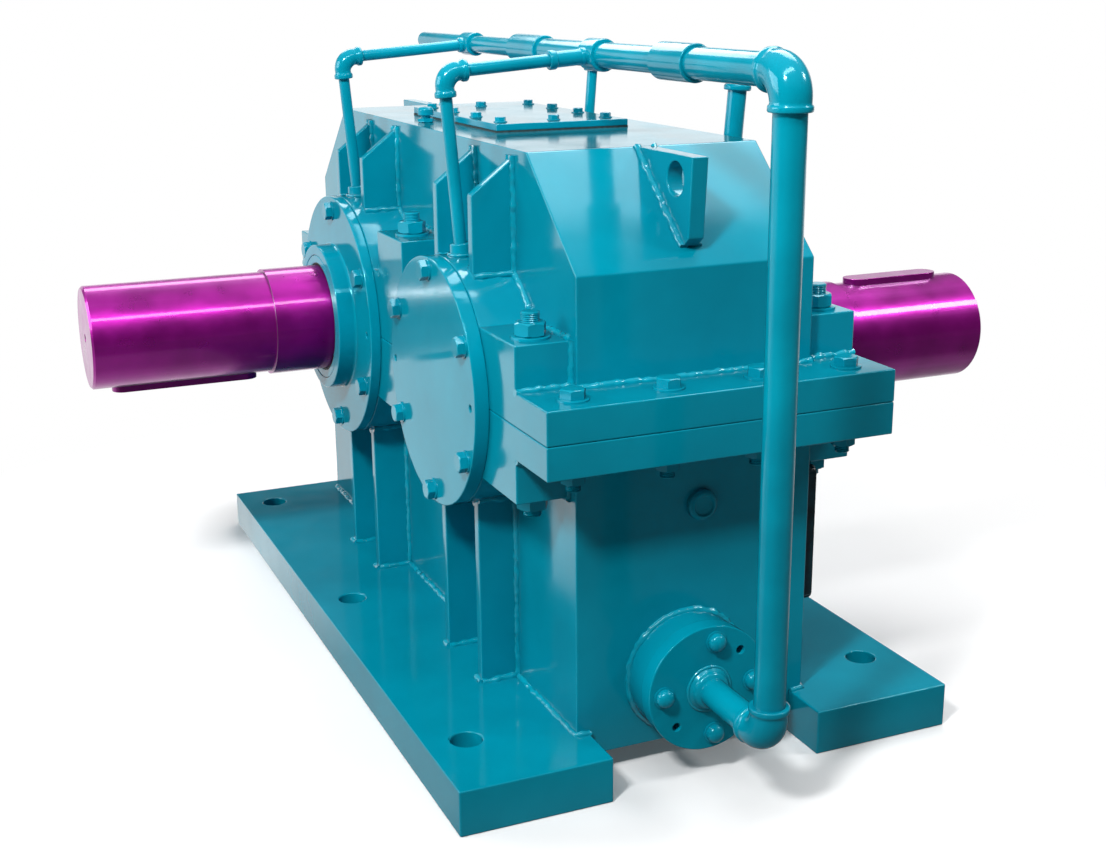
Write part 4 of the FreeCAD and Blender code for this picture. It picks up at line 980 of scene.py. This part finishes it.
def make_floor():
    """A pale floor that keeps the shadow near the machine and turns into the white background further out."""
    mesh = bpy.data.meshes.new("studio_floor")
    mesh.from_pydata([(x * FLOOR_HALF, y * FLOOR_HALF, 0) for x, y in ((-1, -1), (1, -1), (1, 1), (-1, 1))], [],
                     [(0, 1, 2, 3)])
    floor = put(mesh, "studio_floor")
    material, tree, shader, place = new_material("pale_studio_floor", {"Roughness": 0.7, "Specular IOR Level": 0.1})
    path = add(tree, "ShaderNodeLightPath").outputs
    shade = add(tree, "ShaderNodeMix", {"data_type": "RGBA", COLOUR_A: linear(FLOOR_BOUNCE)}, {
        MIX_SHARE: path["Is Camera Ray"], COLOUR_B: mottled(tree, place, 900, FLOOR_COLOURS)})
    link(shader, {"Base Color": shade.outputs[COLOUR_OUT]})
    lift = add(tree, "ShaderNodeMapRange", span((0, 1), (0.0, FLOOR_LIFT)), {"Value": path["Is Camera Ray"]})
    glow = add(tree, "ShaderNodeEmission", {"Color": WHITE}, {"Strength": lift.outputs["Result"]})
    lifted = add(tree, "ShaderNodeAddShader", links={0: shader.outputs["BSDF"], 1: glow.outputs["Emission"]})
    away = add(tree, "ShaderNodeVectorMath", {"operation": "LENGTH"}, {"Vector": place})
    clear = add(tree, "ShaderNodeMapRange", span(FLOOR_FADE), {"Value": away.outputs["Value"]})
    far_floor = add(tree, "ShaderNodeMath", {"operation": "MULTIPLY"}, {
        0: clear.outputs["Result"], 1: path["Is Camera Ray"]})
    station = add(tree, "ShaderNodeSeparateXYZ", links={0: place})
    share = add(tree, "ShaderNodeMapRange", span((-1, 1)), {"Value": station.outputs["X"]})
    mirrored = add(tree, "ShaderNodeValToRGB", links={"Fac": share.outputs["Result"]})
    stops = mirrored.color_ramp.elements
    for at, level in FLOOR_IN_GLOSS:
        stops.new(at).color = (level, level, level, 1.0)
    # the two stops that a ramp starts with
    stops.remove(stops[-1])
    stops.remove(stops[0])
    strength = add(tree, "ShaderNodeMix", {"data_type": "FLOAT", NUMBER_A: 1.0}, {
        MIX_SHARE: path["Is Glossy Ray"], NUMBER_B: mirrored.outputs["Color"]})
    bare = add(tree, "ShaderNodeMath", {"operation": "MAXIMUM"}, {
        0: far_floor.outputs["Value"], 1: path["Is Glossy Ray"]})
    white = add(tree, "ShaderNodeEmission", {"Color": WHITE}, {"Strength": strength.outputs[NUMBER_OUT]})
    surface = add(tree, "ShaderNodeMixShader", links={
        0: bare.outputs["Value"], 1: lifted.outputs["Shader"], 2: white.outputs["Emission"]})
    link(tree.nodes["Material Output"], {"Surface": surface.outputs["Shader"]})
    mesh.materials.append(material)


def make_world():
    """White for the camera. Reflections find a dark room with a pale ceiling and a white wall low down behind."""
    world = bpy.data.worlds.new("studio_surroundings")
    world.use_nodes = True
    bpy.context.scene.world = world
    tree = world.node_tree
    path = add(tree, "ShaderNodeLightPath").outputs
    seen = add(tree, "ShaderNodeMath", {"operation": "MAXIMUM"}, {
        0: path["Is Camera Ray"], 1: path["Is Transmission Ray"]})
    heading = add(tree, "ShaderNodeSeparateXYZ", links={
        0: add(tree, "ShaderNodeTexCoord").outputs["Generated"]}).outputs
    room = add(tree, "ShaderNodeMapRange", span((0.3, 0.95), (DARK_ROOM, CEILING)), {"Value": heading["Z"]})
    behind = add(tree, "ShaderNodeMapRange", span((-0.7, -0.3), (1, 0)), {"Value": heading["X"]})
    low = add(tree, "ShaderNodeMapRange", span((0.2, 0.3), (1, 0)), {"Value": heading["Z"]})
    backdrop = add(tree, "ShaderNodeMath", {"operation": "MULTIPLY"}, {
        0: behind.outputs["Result"], 1: low.outputs["Result"]})
    mirrored = add(tree, "ShaderNodeMath", {"operation": "MAXIMUM"}, {
        0: backdrop.outputs["Value"], 1: room.outputs["Result"]})
    level = add(tree, "ShaderNodeMix", {"data_type": "FLOAT", NUMBER_A: FILL_LIGHT}, {
        MIX_SHARE: path["Is Glossy Ray"], NUMBER_B: mirrored.outputs["Value"]})
    shown = add(tree, "ShaderNodeMix", {"data_type": "FLOAT", NUMBER_B: 1.0}, {
        MIX_SHARE: seen.outputs["Value"], NUMBER_A: level.outputs[NUMBER_OUT]})
    background = tree.nodes["Background"]
    background.inputs["Color"].default_value = WHITE
    link(background, {"Strength": shown.outputs[NUMBER_OUT]})


def make_camera():
    """The photograph's viewpoint: a normal lens at chest height, off the bare end and a little to the left."""
    level = math.cos(VIEW_ELEVATION)
    back = Vector((math.sin(VIEW_AZIMUTH) * level, -math.cos(VIEW_AZIMUTH) * level, math.sin(VIEW_ELEVATION)))
    right = Vector((math.cos(VIEW_AZIMUTH), math.sin(VIEW_AZIMUTH), 0))
    right = right * math.cos(VIEW_ROLL) + back.cross(right) * math.sin(VIEW_ROLL)
    camera = bpy.data.cameras.new("camera")
    camera.sensor_width = SENSOR
    camera.lens = LENS
    thing = bpy.data.objects.new("camera", camera)
    turn = Matrix((right, back.cross(right), back)).transposed().to_4x4()
    thing.matrix_world = Matrix.Translation(VIEW_TARGET + back * VIEW_DISTANCE) @ turn
    bpy.context.scene.collection.objects.link(thing)
    bpy.context.scene.camera = thing


paint_kept_nodes()
make_plates()
make_covers()
make_fasteners()
make_outlet_pipes()
make_weld_beads(make_branch_pipes())
make_fittings()
make_floor()
make_world()
make_lamps()
make_camera()
bpy.context.scene.view_settings.view_transform = "Standard"
